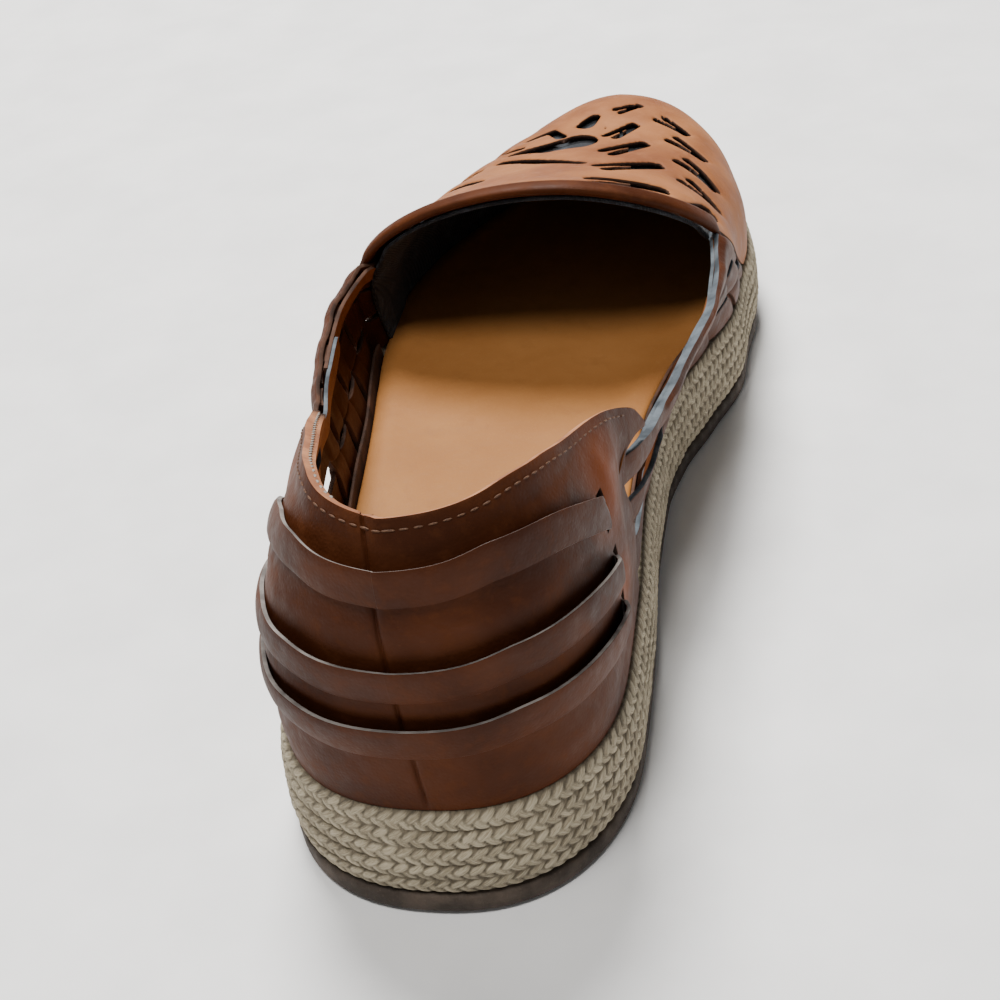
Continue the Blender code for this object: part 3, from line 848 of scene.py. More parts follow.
def plait(run, across, half_height, strand_tones, phase, length):
    """A three-strand plait's relief at distances run along it and across it.

    It returns the height from 0 to 1, the strand's tone, and the place along and across the strand.
    """
    count = strand_tones.shape[1]
    pitch = length / count
    best = np.zeros(run.shape)
    tone = np.full(run.shape, 0.5)
    along = np.zeros(run.shape)
    wide = np.zeros(run.shape)
    for half, hand in enumerate((1.0, -1.0)):
        shift = phase + 0.5 * half
        nearest = np.round(run / pitch - shift)
        for step in (-1, 0, 1):
            index = (nearest + step).astype(int)
            from_middle = run - (index + shift) * pitch
            from_line = across - hand * STRAND_ASIDE * half_height
            u = from_middle * np.cos(PLAIT_LEAN) + hand * from_line * np.sin(PLAIT_LEAN)
            w = -hand * from_middle * np.sin(PLAIT_LEAN) + from_line * np.cos(PLAIT_LEAN)
            own = strand_tones[half, index % count]
            size = STRAND_WIDTHS[0] + STRAND_WIDTHS[1] * own
            inside = 1 - (u / STRAND_LONG) ** 2 - (w / (STRAND_WIDE * size)) ** 2
            bump = np.sqrt(np.clip(inside, 0, 1))
            bump = bump * (STRAND_HEIGHTS[0] + STRAND_HEIGHTS[1] * own)
            higher = bump > best
            best = np.where(higher, bump, best)
            tone = np.where(higher, own, tone)
            along = np.where(higher, u + FIBRE_SHIFT * own, along)
            wide = np.where(higher, w, wide)
    return best, tone, along, wide


def jute_wrap():
    """Five plaits of jute cord wound one above another round the wedge of the sole."""
    turns, length = even_turns(JUTE_COLUMNS)
    run = np.linspace(0, length, JUTE_COLUMNS + 1)
    count = int(round(length / PLAIT_PITCH))
    chance = np.random.RandomState(11)
    wall = SOLE_TOP - JUTE_BOTTOM
    plait_height = wall / PLAIT_ROWS
    half = plait_height / 2
    tones = chance.random_sample((PLAIT_ROWS, 2, count))
    wander = sum(
        amount * np.sin(run / length * 2 * np.pi * waves + start) for amount, waves, start in WRAP_WANDER
    )
    rows, notes = [], []
    for height in np.linspace(JUTE_BOTTOM, SOLE_TOP, JUTE_LEVELS):
        level = (height - JUTE_BOTTOM) / plait_height
        which = min(int(level), PLAIT_ROWS - 1)
        across = (level - which - 0.5) * plait_height
        across = across + wander * np.sin(np.pi * (height - JUTE_BOTTOM) / wall)
        relief, tone, along, wide = plait(run, across, half, tones[which], PLAIT_PHASES[which], length)
        cord = np.sqrt(np.clip(1 - (across / (half * CORD_FULL)) ** 2, 0.0, 1))
        strands = STRAND_RISE * relief * (GROOVE_RELIEF + (1 - GROOVE_RELIEF) * cord)
        out = CORD_ROUNDING * (cord - 1) + strands - CORD_INSET
        rows.append(edge_ring(JUTE_EDGE, turns, height, out))
        # How far each corner stands out of the crevices, which sets the painted shade there.
        crevice_shade = relief * (GROOVE_SHADE + (1 - GROOVE_SHADE) * cord)
        notes.append(np.stack([tone, crevice_shade, along, wide], -1))
    for height in (SOLE_TOP, JUTE_BOTTOM):
        rows.append(edge_ring(JUTE_EDGE, turns, height, -WALL_DEPTH))
        notes.append(notes[0] * 0)
    rows.append(rows[0])
    notes.append(notes[0])
    mesh = grid_mesh(np.array(rows))
    kept = np.array(notes)
    for place, name in enumerate(("tone", "crevice_shade", "along", "across")):
        note_on(mesh, name, kept[..., place])
    bmesh.ops.remove_doubles(mesh, verts=mesh.verts, dist=RING_JOIN)
    bmesh.ops.recalc_face_normals(mesh, faces=mesh.faces)
    make_piece("jute_wrap", mesh, [JUTE], ["midsole"], sharp=70)


RIM_LEVELS = (0.0, 0.25, 0.6, 1.0, 2.0, 3.0, 3.6, 4.1, 4.38, 4.5)
RIM_IN = (1.4, 0.7, 0.25, 0.0, 0.0, 0.0, 0.1, 0.3, 0.7, 1.3)
RIM_COLUMNS = 900
SCALLOP_PITCH = 4.6
SCALLOP_OUT = 0.16
SCALLOP_DIP = 0.2
SCALLOPS_OUT_FROM = 2.0
SCALLOPS_DIP_FROM = 3.0


def rubber_rim():
    """The outsole's wall: softly rounded, and scalloped at its top by the stitching above it."""
    turns, length = even_turns(RIM_COLUMNS)
    run = np.linspace(0, length, RIM_COLUMNS + 1)
    waves = np.cos(run / length * 2 * np.pi * round(length / SCALLOP_PITCH))
    rows = []
    for height, inwards in zip(RIM_LEVELS, RIM_IN):
        out = -inwards + SCALLOP_OUT * waves * smoothstep((height - SCALLOPS_OUT_FROM) / 2.0)
        ring = edge_ring(OUTSOLE_EDGE, turns, height, out)
        ring[:, 2] -= SCALLOP_DIP * (1 - waves) / 2 * smoothstep((height - SCALLOPS_DIP_FROM) / 1.5)
        rows.append(ring)
    for height in (OUTSOLE_TOP, 0.0):
        rows.append(edge_ring(OUTSOLE_EDGE, turns, height, -WALL_DEPTH))
    rows.append(rows[0])
    mesh = grid_mesh(np.array(rows))
    bmesh.ops.remove_doubles(mesh, verts=mesh.verts, dist=RING_JOIN)
    bmesh.ops.recalc_face_normals(mesh, faces=mesh.faces)
    make_piece("outsole_rim", mesh, [RUBBER], ["outsole"], sharp=60)


TREAD_STATIONS = 300
TREAD_ACROSS = 40
TREAD_PITCH = 6.5
TREAD_EDGE = (-0.6, 2.4)
GROOVE_DEPTH = 1.1
GROOVE_STEEP = 2.2
GROOVE_WAVER = 1.6
GROOVE_WAVER_RUN = 5.0
GROOVE_END_FADE = 6.0
# The middle of the ungrooved waist, its half length, and how soon the grooves fade in past it.
BARE_WAIST = (105.0, 22.0, 8.0)
TREAD_RECESS = 0.2


def rubber_tread():
    """The outsole's underside: shallow waved grooves across the forefoot and the heel."""
    stations = even_stations(0, LENGTH, TREAD_STATIONS)
    across = np.linspace(0, 1, TREAD_ACROSS + 1)
    x, y, width = across_sole(stations, across, *TREAD_EDGE)
    middle, half, fade = BARE_WAIST
    wave = np.cos(2 * np.pi * (y + GROOVE_WAVER * np.sin(x / GROOVE_WAVER_RUN)) / TREAD_PITCH)
    inside = smoothstep(np.minimum(across, 1 - across) * width / GROOVE_END_FADE - 0.7)
    waist = 1 - smoothstep((half - np.abs(y - middle)) / fade)
    groove = GROOVE_DEPTH * smoothstep((wave - 0.1) * GROOVE_STEEP) * inside * waist
    low = np.stack([x, y, spring(y) + waist_lift(y) + groove], -1)
    high = low.copy()
    high[..., 2] = OUTSOLE_TOP - TREAD_RECESS + spring(y) + OUTSOLE_EDGE[-1][3] * waist_lift(y)
    mesh = lofted(np.concatenate([low, high[:, ::-1]], axis=1), cap=False)
    make_piece("outsole_tread", mesh, [RUBBER], ["outsole"])


INSOLE_EDGE = 2.95
INSOLE_STATIONS = 150
INSOLE_ACROSS = 36
INSOLE_ROUND = 1.2
INSOLE_DROP = 0.7
# The foot's hollows in the insole: middle (x, y), reach across and along, depth.
INSOLE_DISHES = ((0.5, 38.0, 17.0, 24.0, 0.7), (-1.0, 178.0, 27.0, 26.0, 0.5))
# A low bead a little way in from its edge: how high, how far in, and how wide.
INSOLE_BEAD = (0.6, 4.0, 3.0)
INSOLE_LIFT = 0.1


def insole_board():
    """The insole: dished a little by the heel and the ball of the foot, with a rounded edge."""
    stations = even_stations(0, LENGTH, INSOLE_STATIONS)
    across = (1 - np.cos(np.linspace(0, np.pi, INSOLE_ACROSS + 1))) / 2
    x, y, width = across_sole(stations, across, -INSOLE_EDGE)
    from_edge = np.minimum(across, 1 - across) * width
    ends = np.minimum(y - y.min(), y.max() - y)
    from_edge = np.minimum(from_edge, ends + 0.001)
    rounding = 1 - np.clip(from_edge / INSOLE_ROUND, 0, 1)
    top = INSOLE_TOP - INSOLE_DROP * (1 - np.sqrt(np.clip(1 - rounding**2, 0, 1)))
    for middle_x, middle_y, wide, long, depth in INSOLE_DISHES:
        top = top - depth * np.exp(-((y - middle_y) / long) ** 2 - ((x - middle_x) / wide) ** 2)
    bead, inwards, wide = INSOLE_BEAD
    top = top + bead * np.exp(-((from_edge - inwards) / wide) ** 2) * (from_edge > 0.01)
    high = np.stack([x, y, top + spring(y)], -1)
    low = high.copy()
    low[..., 2] = SOLE_TOP + INSOLE_LIFT + spring(y)
    mesh = lofted(np.concatenate([low, high[:, ::-1]], axis=1), cap=False)
    make_piece("insole_board", mesh, [INSOLE_HIDE], ["insole"], sharp=60)


# ---------------------------------------------------------------- the heel

def strap_edges(name, station):
    """Lower and upper edge of a strap: it sags at the heel's back and slants down to its slots."""
    edge = dict(zip(STRAP_COLUMNS, STRAPS[name]))
    lift = STRAP_SAG * smoothstep(station / STRAP_SAG_RUN)
    fall = np.clip(station / SLOT_FROM, 0, 1) ** 2
    low = edge["back_low"] + lift + (edge["slot_low"] - edge["back_low"] - STRAP_SAG) * fall
    high = edge["back_high"] + lift + (edge["slot_high"] - edge["back_high"] - STRAP_SAG) * fall
    return low, high


def counter_rows(station, side):
    """Heights of the counter's main rows at a station, up to the slots."""
    heights = [np.full_like(station, SOLE_TOP + LAYER_GAP)]
    for name in reversed(STRAPS):
        low, high = strap_edges(name, station)
        heights += [low - SLOT_MARGIN, high + SLOT_MARGIN]
    top = by_side(TOPLINE, "", station / LENGTH, side)
    upper_rows = COUNTER["above_slots"][len(heights):]
    return np.array(heights + [heights[-1] + share * (top - heights[-1]) for share in upper_rows])


def counter_heights(station, side):
    """Heights of the counter's main rows: in front of the slots they close up as the top edge falls."""
    at_slots = counter_rows(np.minimum(station, SLOT_TO), side)
    foot_height = SOLE_TOP + LAYER_GAP
    top = by_side(TOPLINE, "", station / LENGTH, side)
    return foot_height + (at_slots - foot_height) * (top - foot_height) / (at_slots[-1] - foot_height)


# Main creases and humps of the counter: side, station, height, length along, height across, rise,
# and how much the crease climbs for each millimetre along.
COUNTER_CREASES = (
    (1.0, 50.0, 63.0, 9.0, 6.0, 1.2, 0.2),
    (1.0, 44.5, 61.0, 3.0, 7.0, 0.7, 0.0),
    (-1.0, 49.0, 62.5, 8.0, 6.0, 0.9, 0.2),
    (1.0, 57.0, 55.0, 5.0, 8.0, -0.8, 0.6),
    (-1.0, 57.0, 54.0, 5.0, 8.0, -0.7, 0.6),
    (1.0, 20.0, 74.5, 14.0, 1.6, -0.35, -0.15),
    (-1.0, 16.0, 75.0, 12.0, 1.8, -0.35, -0.12),
    (1.0, 12.0, 60.5, 14.0, 2.4, 0.5, -0.1),
    (-1.0, 14.0, 60.0, 16.0, 2.6, 0.45, -0.1),
    (1.0, 26.0, 57.0, 10.0, 1.5, -0.45, -0.35),
    (-1.0, 27.0, 56.5, 11.0, 1.5, -0.4, -0.35),
    (1.0, 9.0, 45.5, 12.0, 1.4, 0.35, -0.06),
    (-1.0, 12.0, 45.4, 13.0, 1.4, 0.35, -0.06),
    (1.0, 16.0, 29.0, 15.0, 3.6, 0.5, 0.05),
    (-1.0, 18.0, 28.5, 14.0, 3.6, 0.5, 0.05),
    (1.0, 34.0, 26.0, 9.0, 2.0, -0.4, 0.3),
    (-1.0, 35.0, 26.5, 9.0, 2.0, -0.4, 0.3),
    (1.0, 47.0, 48.0, 4.0, 9.0, 0.5, 0.0),
    (-1.0, 47.0, 48.0, 4.0, 9.0, 0.5, 0.0),
    (1.0, 53.0, 38.0, 6.0, 7.0, 0.4, 0.0),
    (-1.0, 53.0, 38.0, 6.0, 7.0, 0.4, 0.0),
)


def creased(station, side, height, creases):
    """The rise of the listed creases at each place."""
    rise = np.zeros(np.broadcast(station, side, height).shape)
    for hand, at, level, long, wide, amount, climb in creases:
        along = station - at
        up = height - level - climb * along
        swell = np.exp(-((along / long) ** 2) - (up / wide) ** 2)
        rise = rise + np.where(side == hand, amount * swell, 0.0)
    return rise


RIPPLES = 7


def slow_waves(x, y, z, size, seed):
    """Low uneven waves about size across, from a few crossing ripples."""
    chance = np.random.RandomState(seed)
    total = 0.0
    for _ in range(RIPPLES):
        direction = chance.normal(size=3)
        length = size * (0.7 + 0.8 * chance.random_sample())
        direction *= 2 * np.pi / length / np.linalg.norm(direction)
        start = 6.3 * chance.random_sample()
        total = total + np.sin(x * direction[0] + y * direction[1] + z * direction[2] + start)
    return total / RIPPLES


# The heel's seam: how far it leans to the lateral side at its foot and its top, how far round the
# heel the hide follows it, and the depth and half width of its groove.
SEAM_LEAN = {"foot": 1.7, "top": -2.2}
SEAM_TALL = 58.0
LEAN_WITHIN = 26.0
LEAN_REACH = 11.0
FAR_ASIDE = 99.0
SEAM_DEPTH = 0.7
SEAM_HALF = 0.42
SEAM_STATIONS = (0.0, 2e-5, 1e-4, 4e-4, 1.2e-3, 4e-3, 0.015, 0.05, 0.13)
COUNTER_SUBROWS = (8, 7, 7, 4, 8, 8, 6, 4, 3)
HEEL_COLUMNS = 44
BEND_COLUMNS = 12
FRONT_COLUMNS = 16
COUNTER_WAVES = 0.22
COUNTER_WAVE_SIZE = 22.0
COUNTER_FOOT_FADE = 3.0


def counter_stations():
    """Stations of the counter's columns on one side, with the number of them before the slots."""
    heel = [*SEAM_STATIONS, *even_stations(0, SLOT_FROM, HEEL_COLUMNS)[3:]]
    behind = [*heel, SLOT_TO, *np.linspace(SLOT_TO, COUNTER_BEND, BEND_COLUMNS + 1)[1:]]
    return np.array(behind), len(heel)


def seam_groove(x):
    """The closed seam down the middle of the heel's back."""
    return -SEAM_DEPTH * np.exp(-((x / SEAM_HALF) ** 2))


def with_leaning_seam(stations, side, heights):
    """Slides the columns near the heel's middle sideways, so that the seam leans to the lateral side."""
    near = stations[0] < LEAN_WITHIN
    bare = last_point(stations, side, v_at_height(stations, side, heights))[:, near, 0]
    more = SEAM_LEAN["top"] - SEAM_LEAN["foot"]
    lean = SEAM_LEAN["foot"] + more * (heights[:, near] - SOLE_TOP) / SEAM_TALL
    wanted = bare + lean * np.exp(-((bare / LEAN_REACH) ** 2))
    signed = (side * stations)[:, near]
    moved = np.array([np.interp(new, old, line) for new, old, line in zip(wanted, bare, signed)])
    stations = stations.copy()
    stations[:, near] = np.abs(moved)
    sides = np.broadcast_to(side, stations.shape).copy()
    sides[:, near] = np.where(moved < 0, -1.0, 1.0)
    across = np.full(stations.shape, FAR_ASIDE)
    across[:, near] = bare
    return stations, sides, across


def counter_grid(front_ease=0.0):
    """Stations, sides and heights of the counter's fine grid, and where its main rows fall in it."""
    behind_one, slot_at = counter_stations()
    behind = both_sides(np.concatenate([behind_one, np.full(FRONT_COLUMNS, COUNTER_BEND)]))
    shares = np.arange(1, FRONT_COLUMNS + 1) / FRONT_COLUMNS
    forward = both_sides(np.concatenate([np.zeros(len(behind_one)), shares]))
    side = side_of(len(behind))
    fine, breaks = [0.0], [0]
    for row, parts in enumerate(COUNTER_SUBROWS):
        fine += list(row + np.arange(1, parts + 1) / parts)
        breaks.append(len(fine) - 1)
    fine = np.array(fine)
    front = curve(np.arange(len(COUNTER_ROWS)) * 1.0, COUNTER["front"], fine) - front_ease
    stations = behind + forward * (front[:, None] - behind)
    heights = []
    for place, line in zip(fine, stations):
        main = counter_heights(line, side)
        low = min(int(place), len(COUNTER_ROWS) - 2)
        heights.append(main[low] + (place - low) * (main[low + 1] - main[low]))
    return stations, side, np.array(heights), breaks, slot_at


def heel_counter():
    """The counter: one piece of hide round the heel, slotted for the straps, sewn at its back."""
    stations, side, heights, breaks, slot_at = counter_grid()
    columns = len(side)
    stations, side, across = with_leaning_seam(stations, side, heights)
    v = v_at_height(stations, side, heights)
    bare = last_point(stations, side, v)
    rise = creased(stations, side, heights, COUNTER_CREASES)
    rise = rise + COUNTER_WAVES * slow_waves(*np.moveaxis(bare, -1, 0), COUNTER_WAVE_SIZE, seed=3)
    rise = rise + seam_groove(across)
    rise = rise * smoothstep((heights - SOLE_TOP) / COUNTER_FOOT_FADE)
    mesh = grid_mesh(last_point(stations, side, v, rise))
    middle = columns // 2
    holes = []
    for row in SLOT_ROWS:
        for line in range(breaks[row], breaks[row + 1]):
            for cell in (middle + slot_at - 1, middle - slot_at):
                holes.append(mesh.faces[line * (columns - 1) + cell])
    bmesh.ops.delete(mesh, geom=holes, context="FACES")
    piece = make_piece("counter_hide", mesh, [COUNTER_HIDE_SHADED, COLLAR_EDGE], ["heel_counter"])
    add_wall(piece, COUNTER_WALL, edge_material=1)
    round_edges(piece, 0.2)


# The lining's ears start at this height. Below it, what would reach past its end is squeezed in.
EARS_FROM = 56.5
EARS_RUN = 4.0
SQUEEZED = 0.02
LINING_FOOT = 0.5
LINING_GAP = 0.05
LINING_EASE = 0.4


def heel_lining():
    """The collar's lining, one hide's thickness inside the counter and level with its top edge.

    Below its ears it ends behind the quarter straps, which run forward between it and the counter.
    """
    stations, side, heights, _, _ = counter_grid(front_ease=LINING_EASE)
    clear = smoothstep((heights - EARS_FROM) / EARS_RUN)
    short = np.minimum(stations, LINING_END + SQUEEZED * (stations - LINING_END))
    stations = np.where(stations > LINING_END, short + clear * (stations - short), stations)
    heights = np.maximum(heights, SOLE_TOP + LINING_FOOT + SQUEEZED * (heights - SOLE_TOP))
    v = v_at_height(stations, side, heights)
    mesh = grid_mesh(last_point(stations, side, v, -(COUNTER_WALL + LINING_GAP)))
    piece = make_piece("collar_lining", mesh, [INNER_HIDE, COLLAR_EDGE], ["upper"])
    add_wall(piece, LINING_WALL, edge_material=1, even=False)
    round_edges(piece, 0.2)


STRAP_ACROSS = 9
STRAP_COLUMNS_ROUND = 52
# Where each end of a heel strap turns into its slot, and how deep it lies there.
TURN_FROM = 37.6
TURN_STATIONS = (38.2, 38.5, 38.7, 38.85, 39.0, 39.2, 39.6, 40.6)
TURN_ROWS = ((0.0, 0.0), (38.5, 0.0), (38.7, -0.2), (39.2, -1.6), (40.6, -1.75))
# The fold at the slot carries a painted grey highlight, and what lies inside the slot is painted dark as
# shade.
GREY_HIGHLIGHT_FROM = SLOT_FROM - 0.31
SLOT_SHADE_FROM = SLOT_FROM + 0.35
# The upper edge stands off the hide up to the slot on the medial side. On the lateral side it comes
# down much sooner, and the whole strap is drawn in closer.
STAND_OFF_TO = {"medial": (SLOT_FROM + 0.4, 4.0), "lateral": (20.0, 17.0)}
STRAP_GAP = 0.3
DRAWN_IN = 0.16
DRAWN_RUN = 14.0
HEEL_STRAP_CROWN = 0.35
STRAP_INNER_CROWN = 0.6
STRAP_LIP = 1.5
# A strap's slow waves: amount, turn for each millimetre, and the share that moves its edges up.
STRAP_WAVER = (0.12, 0.31, 0.6)
STRAP_EDGE_ROUND = 0.22


def stand_off(reach, side):
    """How fully a heel strap's upper edge stands off, from 1 at the heel's back to 0."""
    medial, lateral = (smoothstep((to - reach) / run) for to, run in STAND_OFF_TO.values())
    return np.where(side > 0, medial, lateral)


def heel_strap(name):
    """A strap round the counter: its lower edge lies flat, its upper edge stands off in a soft lip."""
    gap_above = dict(zip(STRAP_COLUMNS, STRAPS[name]))["gap_above"]
    round_heel = even_stations(0, TURN_FROM, STRAP_COLUMNS_ROUND)[3:]
    reach_one = np.concatenate([SEAM_STATIONS, round_heel, TURN_STATIONS])
    reach = both_sides(reach_one)
    sunk = both_sides(np.interp(reach_one, *np.array(TURN_ROWS).T))
    side = side_of(len(reach))
    low, high = strap_edges(name, reach)
    ease = stand_off(reach, side)
    amount, often, follows = STRAP_WAVER
    waver = amount * np.sin(reach * side * often + gap_above)
    drawn_in = DRAWN_IN * (side < 0) * smoothstep(reach / DRAWN_RUN)
    share = np.linspace(0, 1, STRAP_ACROSS)
    outer = STRAP_WALL - STRAP_EDGE_ROUND * np.isin(share, (0.0, 1.0))
    faces = [(place, wall, 1.0) for place, wall in zip(share, outer)]
    faces += [(place, 0.0, STRAP_INNER_CROWN) for place in share[::-1]]
    sections = []
    for place, wall, crowned in faces:
        height = low + (high - low) * place + waver * ease * follows
        lean = STRAP_GAP - drawn_in + gap_above * ease * place**STRAP_LIP
        crown = HEEL_STRAP_CROWN * np.sin(np.pi * place) * crowned
        v = v_at_height(reach, side, height)
        sections.append(last_point(reach, side, v, lean + wall + crown + sunk))
    sections = np.moveaxis(np.array(sections), 0, 1)
    nearer_end = np.minimum(reach[:-1], reach[1:])
    materials = np.zeros((len(nearer_end), len(faces)), int)
    materials[:, [STRAP_ACROSS - 1, len(faces) - 1]] = 1
    # Painted highlight on the fold at the slot, and painted shade on what lies inside it.
    materials[nearer_end > GREY_HIGHLIGHT_FROM] = 1
    materials[nearer_end > SLOT_SHADE_FROM] = 2
    mesh = lofted(sections, materials=materials)
    piece = make_piece(name + "_hide", mesh, [STRAP_HIDE, GREY_EDGE, DARK_EDGE_AND_SHADE], [name])
    round_edges(piece, 0.28)


# ---------------------------------------------------------------- the woven quarters

def strap_share(which, station):
    """Lower and upper edge of a quarter strap, as shares of the bundle's height."""
    edge = dict(zip(QUARTER_COLUMNS, QUARTER_STRAPS[which]))
    woven = smoothstep((station - WOVEN_FROM) / WOVEN_RUN)
    low = edge["low_open"] + (edge["low_woven"] - edge["low_open"]) * woven
    high = edge["high_open"] + (edge["high_woven"] - edge["high_open"]) * woven
    return low, high


def in_weave(station):
    """How fully the straps are woven at a station."""
    first = STRIP_FROM - STRIP_PITCH * 0.8
    last = STRIP_FROM + STRIP_PITCH * (STRIP_COUNT - 0.3)
    return smoothstep((station - first) / 5) * (1 - smoothstep((station - last) / 6))


def over_under(phase):
    """A squared-off wave for weaving: +1 at the even phases and -1 at the odd ones."""
    return np.tanh(2.0 * np.cos(np.pi * phase)) / np.tanh(2.0)


# The straps come out from under the counter, and run in under the vamp.
COUNTER_TUCK = 1.72
COUNTER_TUCK_FROM = 57.0
COUNTER_TUCK_RUN = 12.0
VAMP_TUCK = 2.1
VAMP_TUCK_FROM = 146.5
VAMP_TUCK_RUN = 5.5
QUARTER_CROWN = 0.3
# The middle strap flares out where it leaves the counter, and the top one rolls in at its top edge.
MIDDLE_STRAP, TOP_STRAP = 1, 2
MIDDLE_FLARE = 1.2
FLARE_AT = 78.0
FLARE_REACH = 14.0
TOP_ROLL = 1.1
TOP_ROLL_FROM = 0.7
TOP_WAVE = 0.25
TOP_STAND = 0.5


def strap_base(station):
    """How far the quarter straps' outer face lies out: they come out from under the counter's wall."""
    return -COUNTER_TUCK * (1 - smoothstep((station - COUNTER_TUCK_FROM) / COUNTER_TUCK_RUN))


def under_vamp(station):
    """How far a strap has run in under the vamp, from 0 to 1."""
    return smoothstep((station - VAMP_TUCK_FROM) / VAMP_TUCK_RUN)


def quarter_straps():
    """Three straps run forward on each side from under the counter to under the vamp."""
    open_part = np.linspace(QUARTER_START, WOVEN_FROM, 28)
    stations = np.concatenate([open_part, np.linspace(WOVEN_FROM, QUARTER_END, 110)[1:]])
    rows = np.linspace(0, 1, 10)[:, None]
    woven = in_weave(stations)
    for hand, side_name in HANDS:
        for which in range(len(QUARTER_STRAPS)):
            low, high = strap_share(which, stations)
            share = low + rows * (high - low)
            v = share * top_v(np.minimum(stations, THROAT_Y), hand, BUNDLE)
            along = slanted(stations, hand, v)
            out = strap_base(stations) - VAMP_TUCK * under_vamp(stations)
            out = out + QUARTER_CROWN * np.sin(np.pi * rows)
            weave = over_under((stations - STRIP_FROM) / STRIP_PITCH)
            weave = WEAVE_HALF * (-1) ** which * weave * woven
            if which == MIDDLE_STRAP:
                out = out + MIDDLE_FLARE * np.exp(-((stations - FLARE_AT) / FLARE_REACH) ** 2) * rows
            if which == TOP_STRAP:
                weave = TOP_WAVE * weave + TOP_STAND * WEAVE_HALF * woven
                out = out - TOP_ROLL * smoothstep((rows - TOP_ROLL_FROM) / 0.3) * woven
            points = clear_of_sole(last_point(along, hand, v, out + weave))
            # On the lateral side the straps' cut edges are partly painted shade, darker than the medial
            # grey.
            piece = make_piece(
                f"quarter_strap_{side_name}_{which + 1}", turned_out(grid_mesh(points), hand),
                [STRAP_HIDE, SHADE_EDGE if hand > 0 else DARK_EDGE_AND_SHADE], ["upper"],
            )
            wall = TOP_STRAP_WALL if hand > 0 and which == TOP_STRAP else STRAP_WALL
            add_wall(piece, wall, edge_material=1)
            round_edges(piece, 0.25)


STRIP_TOP = 0.93
STRIP_CROWN = 0.28
STRIP_UNDER_TOP = 0.95
# Millimetres along the shoe for one of a station.
STATION_STEP = 0.97


def quarter_strips():
    """Upright strips pass over and under the quarter straps, leaning forward towards their feet."""
    centres = STRIP_FROM + STRIP_PITCH * np.arange(STRIP_COUNT)
    middles = np.array([0.5 * (edge[2] + edge[3]) for edge in QUARTER_STRAPS])
    share = np.linspace(-0.01, STRIP_TOP, 46)[:, None]
    width = np.linspace(-0.5, 0.5, 7) * STRIP_WIDTH
    # Which strap a strip passes at each share of the height: 0 for the lowest, 2 for the top one.
    index = np.interp(share, middles, [0.0, 1.0, 2.0])
    index = index + np.clip(share - middles[-1], 0, 1) / (middles[2] - middles[1])
    index = np.where(share < middles[0], (share - middles[0]) / (middles[1] - middles[0]), index)
    under_top = smoothstep((index - 1.25) / 0.4)
    crown = STRIP_CROWN * np.cos(np.pi * width / STRIP_WIDTH)
    for hand, side_name in HANDS:
        sheets = []
        for order, centre in enumerate(centres):
            stations = centre + width / STATION_STEP + 0 * share
            v = np.clip(share, 0, 1) * top_v(stations, hand, BUNDLE)
            along = slanted(stations, hand, v)
            out = -WEAVE_HALF * (-1) ** order * over_under(index) * smoothstep(share / 0.05 + 0.2)
            out = out + under_top * (-STRIP_UNDER_TOP - out)
            points = clear_of_sole(last_point(along, hand, v, out + crown))
            sheets.append(turned_out(grid_mesh(points), hand))
        # The strips' dark cut edges are partly painted shade.
        piece = make_piece(
            f"quarter_strips_{side_name}", joined(sheets), [STRAP_HIDE, DARK_EDGE_AND_SHADE], ["upper"],
        )
        add_wall(piece, STRAP_WALL - 0.05, edge_material=1)
        round_edges(piece, 0.22)


# Facings: hand, first and last station, how deep they lie at each, and the cut edge's material.
FACINGS = {
    "medial": (1.0, 54.0, 152.0, 2.15, 2.15, SHADE_EDGE),
    # The lateral front length's dark cut edge is painted shade, where its rim falls into shadow past the
    # rear length's grey tip.
    "lateral": (-1.0, 101.0, 152.0, 2.1, 2.1, DARK_EDGE_AND_SHADE),
    "lateral_rear": (-1.0, 54.0, 117.0, 2.1, 2.95, SHADE_EDGE),
}
# The facings drop from the straps' inner face to their own depth where the straps leave the counter,
# and the rear one sinks further where it passes over the other.
FACING_DROP_FROM = 72.0
FACING_DROP_RUN = 10.0
FACING_SINK_FROM = 84.0
FACING_SINK_RUN = 20.0
FACING_VAMP_TUCK = 0.8
FACING_GAP = 0.1
FACING_CROWN = 0.1
FACING_WALL = 0.8
FACING_TIP = 3.0
FACING_MIDDLE = 0.897
FACING_WIDE = 0.19


